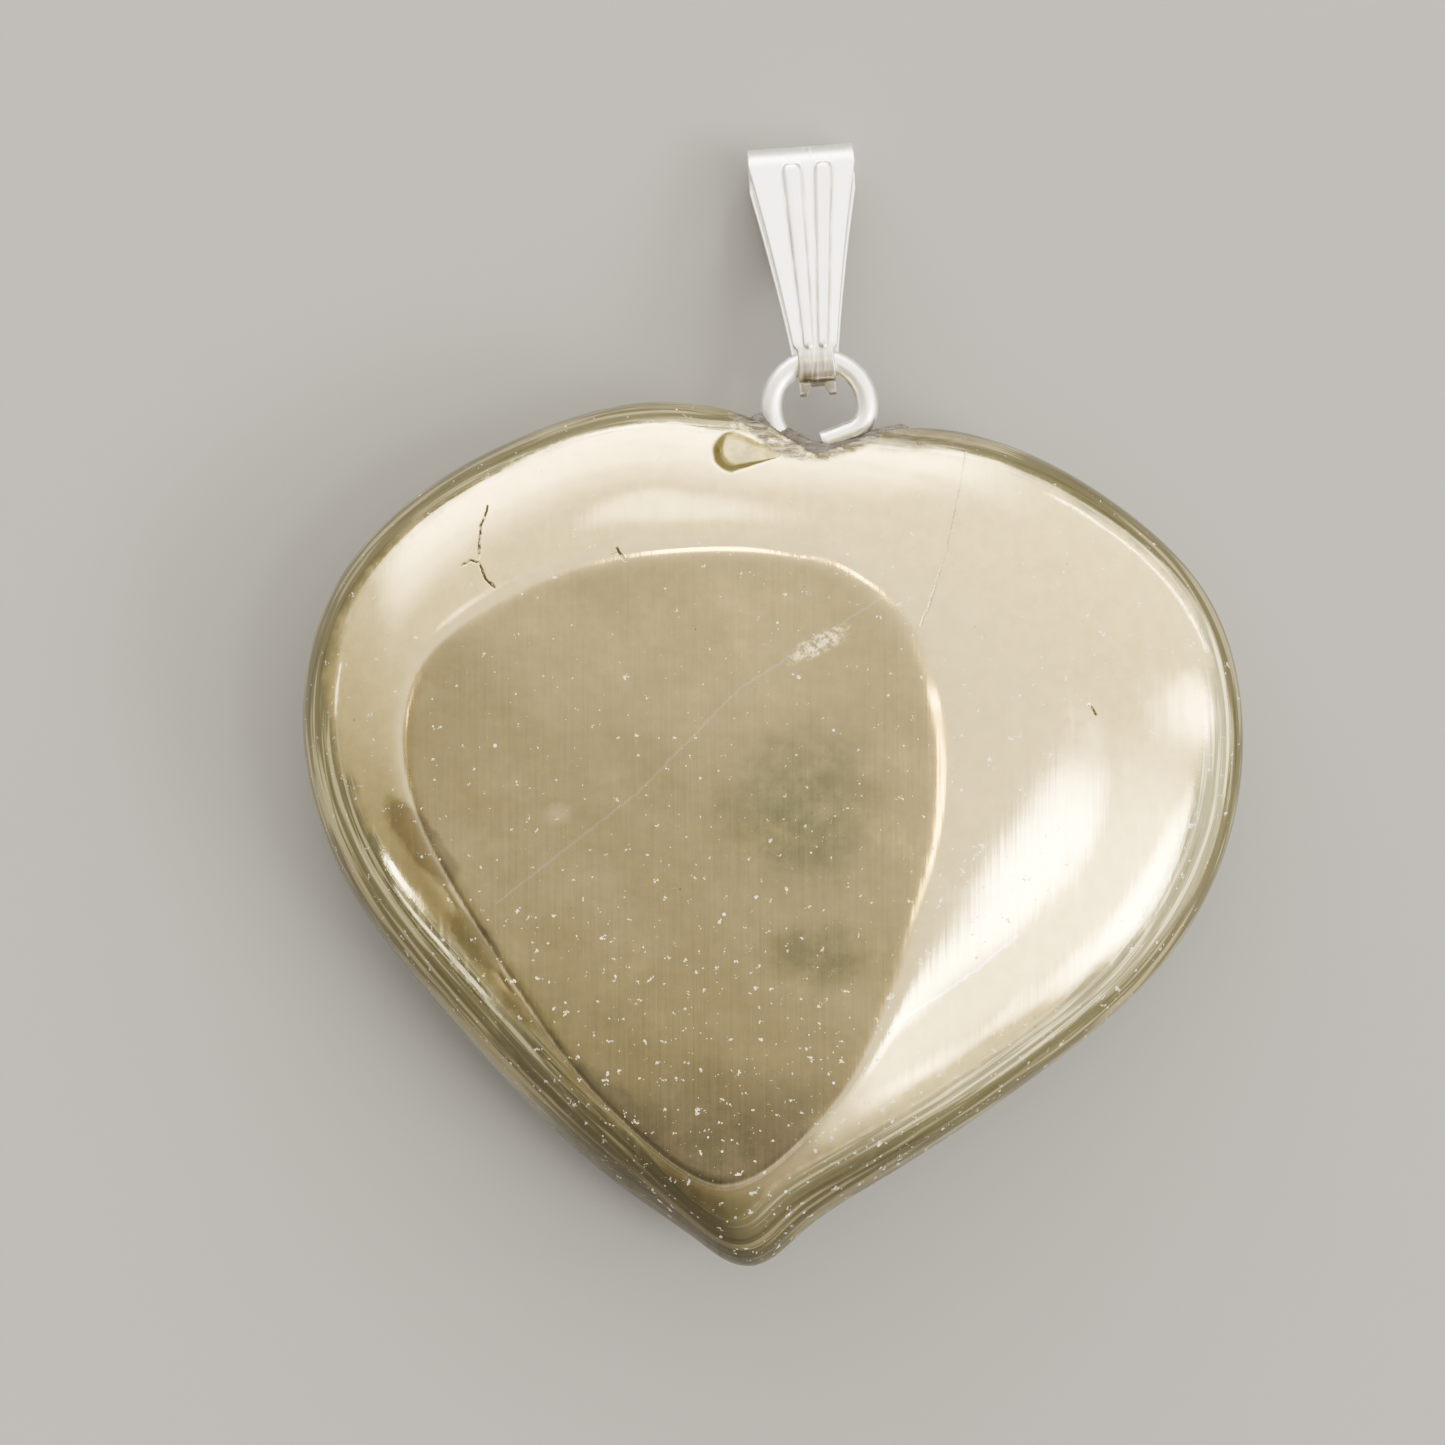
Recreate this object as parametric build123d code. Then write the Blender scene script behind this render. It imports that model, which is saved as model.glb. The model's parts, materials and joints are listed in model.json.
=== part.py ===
"""A heart-shaped pendant of polished iron pyrite, with an eye pin and a folded bail.

The pendant lies on its flat back: +Z is up out of its front face, +Y runs from the tip of
the heart to the bail, and +X is to the right.  Millimetres throughout.
"""

from build123d import *
import math
import os

# ---- the stone -------------------------------------------------------------------------
STONE_THICKNESS = 10.0
SHOULDER_POWER = 1.2        # near 1: the shoulder leaves the flat table at a clear angle
RIM_POWER = 2.2             # over 2: the rim is a little squarer than an ellipse
SECTIONS_PER_SIDE = 6       # loft sections between a table and the girdle

# The girdle is the widest outline of the hand-ground heart.  Each point of it has a point
# of the same number on the edge of the flat table, and the shoulder runs between the two.
NOTCH = (1.9, 10.6)
LEFT_GIRDLE = [
    (-1.2, 12.35), (-5.3, 13.0), (-10.6, 11.6), (-15.6, 8.8), (-19.2, 4.6), (-20.4, -0.4),
    (-18.8, -7.4), (-14.8, -12.9), (-10.9, -17.2), (-6.3, -21.3), (-3.2, -23.5),
]
TIP = (-0.95, -24.6)
RIGHT_GIRDLE = [
    (1.3, -23.15), (3.9, -21.35), (8.2, -18.65), (12.9, -15.3), (17.5, -10.9), (20.0, -5.8),
    (20.5, -0.8), (19.2, 4.2), (15.1, 8.5), (9.4, 11.4), (5.3, 11.75),
]
NOTCH_TABLE = (1.3, 6.4)
LEFT_TABLE = [
    (-1.2, 6.6), (-5.2, 6.4), (-9.4, 5.4), (-13.0, 3.6), (-15.4, 1.3), (-16.1, -1.9),
    (-14.8, -6.6), (-12.0, -11.4), (-9.0, -15.9), (-5.7, -19.3), (-3.8, -20.6),
]
TIP_TABLE = (-2.0, -21.15)
RIGHT_TABLE = [
    (-0.4, -20.7), (1.4, -19.2), (3.6, -16.4), (5.1, -12.8), (6.3, -8.6), (7.1, -4.8),
    (7.1, -1.2), (6.4, 1.8), (5.4, 3.9), (4.0, 5.2), (2.7, 6.0),
]
# the ways that the outline runs, anticlockwise, as it leaves the notch, passes the tip and
# comes back to the notch
NOTCH_LEFT_WAY = (-0.86, 0.51)
NOTCH_RIGHT_WAY = (-0.95, -0.31)
TABLE_LEFT_WAY = (-0.99, 0.14)
TABLE_RIGHT_WAY = (-0.99, 0.14)
TIP_WAY = (1.0, 0.05)

# an old flake scar beside the notch: the middle and the half-sizes of the missing piece
CHIP_MIDDLE = (-1.3, 10.75, 8.05)
CHIP_HALF_SIZE = (1.5, 0.95, 0.55)
CHIP_TURN = 8.0             # degrees about +Z
CHIP_TILT = -40.0           # degrees about +X, so that it lies along the shoulder

# ---- the eye pin -----------------------------------------------------------------------
WIRE_RADIUS = 0.48
EYE_MIDDLE = (2.09, 12.74)
EYE_RADIUS = 2.09           # to the middle of the wire
LEFT_LEG_LEAN = 35.0        # degrees from straight down
LEFT_LEG_LENGTH = 1.2
POST_BEND_RADIUS = 0.8
POST_LENGTH = 5.0
RIGHT_TURN_RADIUS = 1.1     # the tighter turn that closes the eye
RIGHT_TURN = 69.0           # degrees
RIGHT_LEG_LENGTH = 1.3
HOLE_GAP = 0.14             # adhesive round the wire, inside the stone
HOLE_OVERRUN = 0.3
SLEEVE_GAP = 0.01           # between the adhesive sleeve and the wall of the hole

# ---- the adhesive ----------------------------------------------------------------------
PAD_MIDDLE = (1.75, 10.5)
PAD_HALF_SIZE = (1.7, 0.78, 1.3)
LEFT_SMEAR_END = (-0.5, 11.95)
RIGHT_SMEAR_END = (5.6, 11.5)
SMEAR_RADIUS = 0.56

# ---- the bail --------------------------------------------------------------------------
STRIP = 0.26                # sheet thickness
FOLD_RADIUS = 1.25          # to the middle of the sheet
FOLD_DISTANCE = 9.0         # from the hinge line to the middle of the fold
CURL_RADIUS = 0.81          # to the middle of the sheet
CURL_TURN = 195.0           # degrees of curl round the wire
LEAF_GAP = 0.05             # between the end of the curl and the back leaf
FOLD_WIDTH = 4.7
NECK_WIDTH = 1.96           # where the taper ends
NECK_DISTANCE = 0.45        # above the hinge line
TONGUE_DISTANCE = 0.05      # the leaf has narrowed to the tongue here
SIDE_HOLLOW = 0.08          # how far the long sides curve in
TONGUE_WIDTH = 1.6
TAIL_DISTANCE = 1.04        # the back leaf ends this far past the hinge line
TAIL_NOTCH_WIDTH = 0.85     # between the two little feet of the back leaf
TAIL_NOTCH_DEPTH = 0.45
HINGE_INSET = 0.07          # the hinge line lies this far inside the middle of the wire
LEAN = 4.0                  # degrees that the bail has slid round the eye
REST_GAP = 0.02             # between the fold and the surface the pendant lies on

# raised ribs: across-position and half-width, at the top end and at the bottom end
RIB_TOP = 8.75              # above the hinge line
RIB_BOTTOM = 0.45
RIBS = [
    {"top": (-0.45, 0.42), "bottom": (-0.29, 0.2)},
    {"top": (0.93, 0.37), "bottom": (0.35, 0.2)},
]
RIB_SINK = 0.45             # how much of a rib's radius lies below the leaf's face

GIRDLE_HEIGHT = STONE_THICKNESS / 2


def blend(start, end, part):
    """The point that lies the given part of the way from start to end."""
    return tuple(a + (b - a) * part for a, b in zip(start, end))


def side(table, girdle, ways, part, height):
    """One half of the outline, part of the way out from the table to the girdle.

    Every section of a side has the same knots, the girdle's own distances from point to
    point, so that the loft runs straight out from each table point to its girdle point.
    """
    steps = [math.dist(a, b) for a, b in zip(girdle, girdle[1:])]
    knots = [sum(steps[:count]) / sum(steps) for count in range(len(girdle))]
    points = [Vector(*blend(t, g, part), height) for t, g in zip(table, girdle)]
    length = sum((b - a).length for a, b in zip(points, points[1:]))
    tangents = [length * Vector(*way) for way in ways]
    return Edge.make_spline(points, tangents, parameters=knots, scale=False)


def stone_section(part, height):
    """The closed outline of the stone at one height."""
    leave = blend(TABLE_LEFT_WAY, NOTCH_LEFT_WAY, part)
    arrive = blend(TABLE_RIGHT_WAY, NOTCH_RIGHT_WAY, part)
    left = side(
        [NOTCH_TABLE, *LEFT_TABLE, TIP_TABLE],
        [NOTCH, *LEFT_GIRDLE, TIP],
        [leave, TIP_WAY],
        part,
        height,
    )
    right = side(
        [TIP_TABLE, *RIGHT_TABLE, NOTCH_TABLE],
        [TIP, *RIGHT_GIRDLE, NOTCH],
        [TIP_WAY, arrive],
        part,
        height,
    )
    return Wire([left, right])


def stone_blank():
    """The ground heart before drilling: two flat tables, a shoulder round each, one rim."""
    wires = []
    for step in range(-SECTIONS_PER_SIDE, SECTIONS_PER_SIDE + 1):
        angle = math.radians(90 * (1 - abs(step) / SECTIONS_PER_SIDE))
        part = math.sin(angle) ** (2 / SHOULDER_POWER)
        rise = math.cos(angle) ** (2 / RIM_POWER)
        height = GIRDLE_HEIGHT * (1 + math.copysign(rise, step))
        wires.append(stone_section(part, height))
    return Solid.make_loft(wires)


def eye_path(post_length, right_leg_length):
    """The middle line of the wire: post, bend, left leg, eye, tight turn, right leg."""
    lean = math.radians(LEFT_LEG_LEAN)
    turn = math.radians(RIGHT_TURN)
    eye = Vector(*EYE_MIDDLE, GIRDLE_HEIGHT)
    leg_top = eye + EYE_RADIUS * Vector(-math.cos(lean), -math.sin(lean))
    leg_end = leg_top + LEFT_LEG_LENGTH * Vector(math.sin(lean), -math.cos(lean))
    bend_middle = leg_end - POST_BEND_RADIUS * Vector(math.cos(lean), math.sin(lean))
    bend_half = POST_BEND_RADIUS * Vector(math.cos(lean / 2), math.sin(lean / 2))
    post_top = bend_middle + Vector(POST_BEND_RADIUS, 0)
    eye_right = eye + Vector(EYE_RADIUS, 0)
    turn_middle = eye_right - Vector(RIGHT_TURN_RADIUS, 0)
    turn_half = RIGHT_TURN_RADIUS * Vector(math.cos(turn / 2), -math.sin(turn / 2))
    turn_end = turn_middle + RIGHT_TURN_RADIUS * Vector(math.cos(turn), -math.sin(turn))
    leg_way = Vector(-math.sin(turn), -math.cos(turn))
    return Wire([
        Edge.make_line(post_top - Vector(0, post_length), post_top),
        Edge.make_three_point_arc(post_top, bend_middle + bend_half, leg_end),
        Edge.make_line(leg_end, leg_top),
        Edge.make_three_point_arc(leg_top, eye + Vector(0, EYE_RADIUS), eye_right),
        Edge.make_three_point_arc(eye_right, turn_middle + turn_half, turn_end),
        Edge.make_line(turn_end, turn_end + right_leg_length * leg_way),
    ])


def bent_wire(radius, post_length=POST_LENGTH, right_leg_length=RIGHT_LEG_LENGTH):
    """The eye pin, or the room that it takes in the stone when the radius is larger."""
    path = eye_path(post_length, right_leg_length)
    section = Plane(origin=path @ 0, z_dir=path % 0) * Circle(radius)
    return sweep(section, path=path)


def chip():
    """The missing flake, to be cut from the stone."""
    flake = scale(Sphere(1), by=CHIP_HALF_SIZE)
    return Pos(*CHIP_MIDDLE) * Rot(0, 0, CHIP_TURN) * Rot(CHIP_TILT, 0, 0) * flake


def smear(end):
    """A bead of adhesive along one flank of the notch."""
    start = Vector(*NOTCH, GIRDLE_HEIGHT)
    stop = Vector(*end, GIRDLE_HEIGHT)
    run = stop - start
    bead = Plane(origin=start, z_dir=run) * Cylinder(
        SMEAR_RADIUS, run.length, align=(Align.CENTER, Align.CENTER, Align.MIN)
    )
    return bead + Pos(stop) * Sphere(SMEAR_RADIUS)


def hinge_point():
    """The point of the hinge line in the middle of the bail's tongue."""
    lean = math.radians(LEAN)
    reach = EYE_RADIUS - HINGE_INSET
    return Vector(
        EYE_MIDDLE[0] - reach * math.sin(lean),
        EYE_MIDDLE[1] + reach * math.cos(lean),
        GIRDLE_HEIGHT,
    )


def back_leaf_offset():
    """How far the middle of the back leaf lies behind the hinge line."""
    return CURL_RADIUS + STRIP + LEAF_GAP


def front_leaf_ends():
    """Where the front leaf leaves the fold and where it meets the curl, and its normal."""
    fold_x = FOLD_DISTANCE
    fold_y = FOLD_RADIUS - back_leaf_offset()
    reach = math.hypot(fold_x, fold_y)
    angle = math.pi / 2 + math.asin((FOLD_RADIUS - CURL_RADIUS) / reach)
    angle += math.atan2(fold_y, fold_x)
    normal = Vector(math.cos(angle), math.sin(angle))
    fold = Vector(fold_x, fold_y)
    return fold + FOLD_RADIUS * normal, CURL_RADIUS * normal, normal


def strip_profile():
    """The side view of the bent sheet: along the bail is X and towards the front is Y."""
    offset = back_leaf_offset()
    fold_middle = Vector(FOLD_DISTANCE, FOLD_RADIUS - offset)
    leaf_top, leaf_bottom, normal = front_leaf_ends()
    start = math.degrees(math.atan2(normal.Y, normal.X))
    back = Line((-TAIL_DISTANCE, -offset), (FOLD_DISTANCE, -offset))
    fold = ThreePointArc(
        (FOLD_DISTANCE, -offset), fold_middle + Vector(FOLD_RADIUS, 0), leaf_top
    )
    front = Line(leaf_top, leaf_bottom)
    curl = CenterArc((0, 0), CURL_RADIUS, start, CURL_TURN)
    return trace([back, fold, front, curl], line_width=STRIP)


def leaf_outline():
    """The front view of the bail: along the bail is Y.  Both leaves share it."""
    top = FOLD_DISTANCE + FOLD_RADIUS + STRIP
    half_fold = FOLD_WIDTH / 2
    half_neck = NECK_WIDTH / 2
    half_tongue = TONGUE_WIDTH / 2
    middle = (half_fold + half_neck) / 2 - SIDE_HOLLOW
    halfway = (FOLD_DISTANCE + NECK_DISTANCE) / 2
    right = [
        Line((half_tongue, -TAIL_DISTANCE), (half_tongue, TONGUE_DISTANCE)),
        Line((half_tongue, TONGUE_DISTANCE), (half_neck, NECK_DISTANCE)),
        ThreePointArc((half_neck, NECK_DISTANCE), (middle, halfway), (half_fold, FOLD_DISTANCE)),
        Line((half_fold, FOLD_DISTANCE), (half_fold, top)),
    ]
    left = [mirror(edge, about=Plane.YZ) for edge in right]
    top_edge = Line((-half_fold, top), (half_fold, top))
    tail_edge = Line((-half_tongue, -TAIL_DISTANCE), (half_tongue, -TAIL_DISTANCE))
    return make_face([*right, top_edge, *left, tail_edge])


def rib(shape):
    """One raised rib: a slim cone lying in the front leaf, with a round top end."""
    leaf_top, leaf_bottom, normal = front_leaf_ends()
    run = (leaf_top - leaf_bottom).normalized()

    def on_leaf(distance, across, radius):
        depth = STRIP / 2 - radius * RIB_SINK
        point = leaf_bottom + run * distance + normal * depth
        return Vector(across, point.X, point.Y)

    top_across, top_half = shape["top"]
    bottom_across, bottom_half = shape["bottom"]
    top = on_leaf(RIB_TOP, top_across, top_half)
    bottom = on_leaf(RIB_BOTTOM, bottom_across, bottom_half)
    way = top - bottom
    body = Plane(origin=bottom, z_dir=way) * Cone(
        bottom_half, top_half, way.length, align=(Align.CENTER, Align.CENTER, Align.MIN)
    )
    return body + Pos(top) * Sphere(top_half) + Pos(bottom) * Sphere(bottom_half)


def inside_room():
    """The space between the leaves, which the ribs mustn't reach into."""
    offset = back_leaf_offset()
    leaf_top, leaf_bottom, normal = front_leaf_ends()
    inner_top = leaf_top - normal * STRIP / 2
    inner_bottom = leaf_bottom - normal * STRIP / 2
    corners = [inner_bottom, inner_top, Vector(FOLD_DISTANCE, -offset), Vector(0, -offset)]
    return across_bail(make_face(Polyline(*corners, close=True)))


def across_bail(face):
    """A side-view face made as thick as the bail is wide, in the bail's own frame."""
    block = extrude(face, FOLD_WIDTH / 2, both=True)
    return Plane(origin=(0, 0, 0), x_dir=(0, 1, 0), z_dir=(1, 0, 0)) * block


def bail_in_own_frame():
    """Hinge line along X, length along Y, front face towards +Z."""
    sheet = across_bail(strip_profile())
    outline = extrude(leaf_outline(), 2 * FOLD_RADIUS + STRIP, both=True)
    body = sheet & outline
    notch_depth = 2 * TAIL_NOTCH_DEPTH
    body -= Pos(0, -TAIL_DISTANCE, -back_leaf_offset()) * Box(
        TAIL_NOTCH_WIDTH, notch_depth, 2 * STRIP
    )
    room = inside_room()
    for shape in RIBS:
        body += rib(shape) - room
    return body


def rest_pitch():
    """How far the bail droops, in degrees, so that its fold nearly touches the surface."""
    fold_offset = FOLD_RADIUS - back_leaf_offset()
    drop = GIRDLE_HEIGHT - FOLD_RADIUS - STRIP / 2 - REST_GAP
    reach = math.hypot(FOLD_DISTANCE, fold_offset)
    return math.degrees(math.asin(drop / reach) + math.atan2(fold_offset, FOLD_DISTANCE))


def bail():
    """The bail as it lies at rest on the eye."""
    place = Pos(hinge_point()) * Rot(0, 0, LEAN) * Rot(-rest_pitch(), 0, 0)
    return place * bail_in_own_frame()


def adhesive(stone, pin):
    """The set adhesive: a sleeve round the wire inside the stone, and a pad in the notch."""
    radius = WIRE_RADIUS + HOLE_GAP - SLEEVE_GAP
    post_length = POST_LENGTH + HOLE_OVERRUN - SLEEVE_GAP
    leg_length = RIGHT_LEG_LENGTH + HOLE_GAP - SLEEVE_GAP
    wire = bent_wire(radius, post_length, leg_length)
    reach = POST_LENGTH + EYE_RADIUS
    inside = Pos(*PAD_MIDDLE) * Box(
        4 * EYE_RADIUS, 2 * reach, STONE_THICKNESS, align=(Align.CENTER, Align.MAX, Align.MIN)
    )
    sleeve = (wire & inside) - pin
    pad = Pos(*PAD_MIDDLE, GIRDLE_HEIGHT) * scale(Sphere(1), by=PAD_HALF_SIZE)
    beads = pad + smear(LEFT_SMEAR_END) + smear(RIGHT_SMEAR_END)
    return beads - pin - stone + sleeve


def heart_stone():
    """The stone with its chip, its drilled hole and the seat of the wire's two legs."""
    room = bent_wire(
        WIRE_RADIUS + HOLE_GAP, POST_LENGTH + HOLE_OVERRUN, RIGHT_LEG_LENGTH + HOLE_GAP
    )
    return stone_blank() - chip() - room


def build_pendant():
    """Every piece of the pendant by its node's name."""
    stone = heart_stone()
    pin = bent_wire(WIRE_RADIUS)
    return {
        "heart_stone": stone,
        "eye_pin": pin,
        "adhesive": adhesive(stone, pin),
        "bail": bail(),
    }


def main():
    """Write one STEP file for each piece, and print what the record repeats.

    The origin is the middle of the whole pendant's box, at the level of its flat back.
    """
    pieces = build_pendant()
    box = Compound(list(pieces.values())).bounding_box()
    to_origin = Vector(-box.center().X, -box.center().Y, -box.min.Z)
    os.makedirs("parts", exist_ok=True)
    for name, piece in pieces.items():
        export_step(Pos(to_origin) * piece, os.path.join("parts", f"{name}.step"))
    hinge = hinge_point() + to_origin
    print(f"whole size {box.size.X:.2f} x {box.size.Y:.2f} x {box.size.Z:.2f} mm")
    print(f"moved to the origin by {to_origin.X:.3f}, {to_origin.Y:.3f}, {to_origin.Z:.3f}")
    print(f"hinge at {hinge.X:.3f}, {hinge.Y:.3f}, {hinge.Z:.3f}, leaning {LEAN} degrees")
    print(f"bail droops {rest_pitch():.2f} degrees at rest")


main()
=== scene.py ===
import json
import math

import bmesh
import bpy
import numpy as np
from mathutils import Matrix, Vector, noise


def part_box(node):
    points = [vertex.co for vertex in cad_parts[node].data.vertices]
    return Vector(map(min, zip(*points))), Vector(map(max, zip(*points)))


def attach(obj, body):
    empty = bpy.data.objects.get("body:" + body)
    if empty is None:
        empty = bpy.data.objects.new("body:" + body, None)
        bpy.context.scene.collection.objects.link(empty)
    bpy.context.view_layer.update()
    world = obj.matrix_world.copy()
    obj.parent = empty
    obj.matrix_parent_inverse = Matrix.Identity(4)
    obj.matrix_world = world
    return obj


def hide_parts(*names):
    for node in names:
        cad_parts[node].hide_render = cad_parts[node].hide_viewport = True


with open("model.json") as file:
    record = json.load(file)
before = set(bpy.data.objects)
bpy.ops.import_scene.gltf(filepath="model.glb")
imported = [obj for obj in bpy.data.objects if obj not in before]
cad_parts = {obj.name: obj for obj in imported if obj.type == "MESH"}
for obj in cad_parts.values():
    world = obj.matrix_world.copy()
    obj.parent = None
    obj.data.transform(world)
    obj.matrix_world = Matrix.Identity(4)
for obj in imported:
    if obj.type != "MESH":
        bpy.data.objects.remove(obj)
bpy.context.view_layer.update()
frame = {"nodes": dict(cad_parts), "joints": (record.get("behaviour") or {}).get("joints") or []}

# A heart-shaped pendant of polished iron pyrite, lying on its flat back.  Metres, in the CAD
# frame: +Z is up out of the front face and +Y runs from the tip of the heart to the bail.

# ---- the stone, as the CAD model has it ----
STONE_THICKNESS = 0.010
SHOULDER_POWER = 1.2
RIM_POWER = 2.2
NOTCH = (0.0019, 0.0106)
LEFT_GIRDLE = [
    (-0.0012, 0.01235), (-0.0053, 0.0130), (-0.0106, 0.0116), (-0.0156, 0.0088),
    (-0.0192, 0.0046), (-0.0204, -0.0004), (-0.0188, -0.0074), (-0.0148, -0.0129),
    (-0.0109, -0.0172), (-0.0063, -0.0213), (-0.0032, -0.0235),
]
TIP = (-0.00095, -0.0246)
RIGHT_GIRDLE = [
    (0.0013, -0.02315), (0.0039, -0.02135), (0.0082, -0.01865), (0.0129, -0.0153),
    (0.0175, -0.0109), (0.0200, -0.0058), (0.0205, -0.0008), (0.0192, 0.0042),
    (0.0151, 0.0085), (0.0094, 0.0114), (0.0053, 0.01175),
]
NOTCH_TABLE = (0.0013, 0.0064)
LEFT_TABLE = [
    (-0.0012, 0.0066), (-0.0052, 0.0064), (-0.0094, 0.0054), (-0.0130, 0.0036),
    (-0.0154, 0.0013), (-0.0161, -0.0019), (-0.0148, -0.0066), (-0.0120, -0.0114),
    (-0.0090, -0.0159), (-0.0057, -0.0193), (-0.0038, -0.0206),
]
TIP_TABLE = (-0.0020, -0.02115)
RIGHT_TABLE = [
    (-0.0004, -0.0207), (0.0014, -0.0192), (0.0036, -0.0164), (0.0051, -0.0128),
    (0.0063, -0.0086), (0.0071, -0.0048), (0.0071, -0.0012), (0.0064, 0.0018),
    (0.0054, 0.0039), (0.0040, 0.0052), (0.0027, 0.0060),
]
NOTCH_LEFT_WAY = (-0.86, 0.51)
NOTCH_RIGHT_WAY = (-0.95, -0.31)
TABLE_LEFT_WAY = (-0.99, 0.14)
TABLE_RIGHT_WAY = (-0.99, 0.14)
TIP_WAY = (1.0, 0.05)

# ---- how finely the stone's surface is divided ----
COLUMNS_PER_SIDE = 280
END_CROWDING = 0.5          # columns lie closer together at the notch and at the tip
FRONT_TABLE_RINGS = 24
FRONT_SHOULDER_RINGS = 96
BACK_SHOULDER_RINGS = 40
BACK_TABLE_RINGS = 8
TABLE_CROWN = 0.00004       # a hand-lapped table is very slightly domed
TABLE_EDGE_ROUND = 0.0007   # the worn table edge is rounded this far out and this far in
EDGE_ROUND_FADES = (0.12, 0.35)    # the rounding fades out between these parts of the shoulder
NOTCH_BULGE = 0.00025       # of the unbroken rim that the notch was cut from
INSIDE_FROM_RIM = 0.02      # the rim distance given to the two middle points

# unevenness of the surface: its height, and how quickly it changes along the stone and up it
SLOW_WAVE, SLOW_WAVE_SCALE = 0.00003, 140
QUICK_WAVE, QUICK_WAVE_SCALE = 0.000008, 420
RIM_RIPPLE = 0.000016       # grinding lines that run round the rim
RIPPLE_FADES = (0.55, 0.85)        # they fade out between these parts of the way off the rim
COARSE_RIPPLE_SCALES = (110, 1300)
FINE_RIPPLE_SCALES = (160, 3200)

# ---- the chip beside the notch ----
CHIP_START, CHIP_START_RADIUS = (-0.00165, 0.01072), 0.00092
CHIP_END, CHIP_END_RADIUS = (0.00030, 0.01058), 0.00010
CHIP_DEPTH = 0.00034
CHIP_FLOOR = 0.6            # of the radius; the wall of the chip lies outside it
CHIP_SHALLOWING = 0.8       # how much shallower the chip is at its point
CHIP_WOBBLE, CHIP_WOBBLE_SCALE = 0.06, 2600

# ---- the eye pin ----
WIRE_RADIUS = 0.00048
EYE_MIDDLE = (0.00209, 0.01274)
EYE_RADIUS = 0.00209
LEFT_LEG_LEAN = math.radians(35)
LEFT_LEG_LENGTH = 0.0012
POST_BEND_RADIUS = 0.0008
POST_LENGTH = 0.005
RIGHT_TURN_RADIUS = 0.0011
RIGHT_TURN = math.radians(69)
RIGHT_LEG_LENGTH = 0.0013
WIRE_END_ROUND = 0.00006
HOLE_GAP = 0.00014
HOLE_OVERRUN = 0.0003

# ---- the adhesive ----
ADHESIVE_MESH_SIZE = 0.00005
LUMP, LUMP_SCALE = 0.00004, 2200
GRAIN, GRAIN_SCALE = 0.000015, 9000

# ---- the bail ----
STRIP = 0.00026
FOLD_RADIUS = 0.00125
FOLD_DISTANCE = 0.0090
CURL_RADIUS = 0.00081
CURL_TURN = math.radians(195)
LEAF_GAP = 0.00005
FOLD_WIDTH = 0.0047
NECK_WIDTH = 0.00196
NECK_DISTANCE = 0.00045
TONGUE_DISTANCE = 0.00005
SIDE_HOLLOW = 0.00008
TONGUE_WIDTH = 0.0016
TAIL_DISTANCE = 0.00104
TAIL_NOTCH_WIDTH = 0.00085
TAIL_NOTCH_DEPTH = 0.00045
TAIL_NOTCH_SIDES = (0.32, 0.62)    # of the notch's width, from its middle line
FEET_START = 0.35           # of the tail's length
LEAN = math.radians(4)
REST_GAP = 0.00002
RIB_TOP = 0.00875
RIB_BOTTOM = 0.00045
RIBS = [
    {"top": (-0.00045, 0.00042), "bottom": (-0.00029, 0.00023)},
    {"top": (0.00093, 0.00038), "bottom": (0.00035, 0.00022)},
]
RIB_HEIGHT = 0.55           # of the rib's half-width
RIB_ROUNDNESS = 0.6
INNER_RIB_HEIGHT = 0.8      # of the outer height, since the ribs are pressed through the sheet
RIB_GROOVE_PLACE = 1.02     # of the rib's half-width
RIB_GROOVE_WIDTH = 0.00012
EDGE_RADIUS = 0.00006       # the worn edge of the sheet
BACK_STEPS, FOLD_STEPS, LEAF_STEPS, CURL_STEPS = 70, 44, 150, 44
ACROSS_STEPS, EDGE_STEPS = 72, 4
BACK_TARNISH, FOLD_TARNISH, CURL_TARNISH = 0.25, 0.1, 0.9

GIRDLE_HEIGHT = STONE_THICKNESS / 2


# ---- curves ----
def clamped_spline(knots, points, start_way, end_way):
    """A smooth cubic through the points, with set directions at its two ends."""
    points = np.array(points, float)
    gaps = np.diff(knots)
    length = np.linalg.norm(np.diff(points, axis=0), axis=1).sum()
    count = len(knots)
    system = np.eye(count)
    wanted = np.zeros_like(points)
    wanted[0] = length * np.array(start_way)
    wanted[-1] = length * np.array(end_way)
    for i in range(1, count - 1):
        before, after = gaps[i - 1], gaps[i]
        system[i, i - 1 : i + 2] = (1 / before, 2 / before + 2 / after, 1 / after)
        rise = (points[i] - points[i - 1]) / before**2 + (points[i + 1] - points[i]) / after**2
        wanted[i] = 3 * rise
    slopes = np.linalg.solve(system, wanted)

    def at(u):
        i = min(int(np.searchsorted(knots, u, side="right")) - 1, count - 2)
        gap = gaps[i]
        t = (u - knots[i]) / gap
        start = (2 * t**3 - 3 * t**2 + 1) * points[i] + (t**3 - 2 * t**2 + t) * gap * slopes[i]
        end = (3 * t**2 - 2 * t**3) * points[i + 1] + (t**3 - t**2) * gap * slopes[i + 1]
        return start + end

    return at


def half_outline(table, girdle, table_ways, girdle_ways):
    """Matching points along one side of the stone: on the table's edge and on the girdle."""
    steps = [math.dist(a, b) for a, b in zip(girdle, girdle[1:])]
    knots = np.array([sum(steps[:i]) / sum(steps) for i in range(len(girdle))])
    knots[-1] = 1.0
    inner = clamped_spline(knots, table, *table_ways)
    outer = clamped_spline(knots, girdle, *girdle_ways)
    places = []
    for i in range(COLUMNS_PER_SIDE):
        even = i / COLUMNS_PER_SIDE
        u = even - END_CROWDING * math.sin(2 * math.pi * even) / (2 * math.pi)
        places.append((inner(u), outer(u)))
    return places


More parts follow.
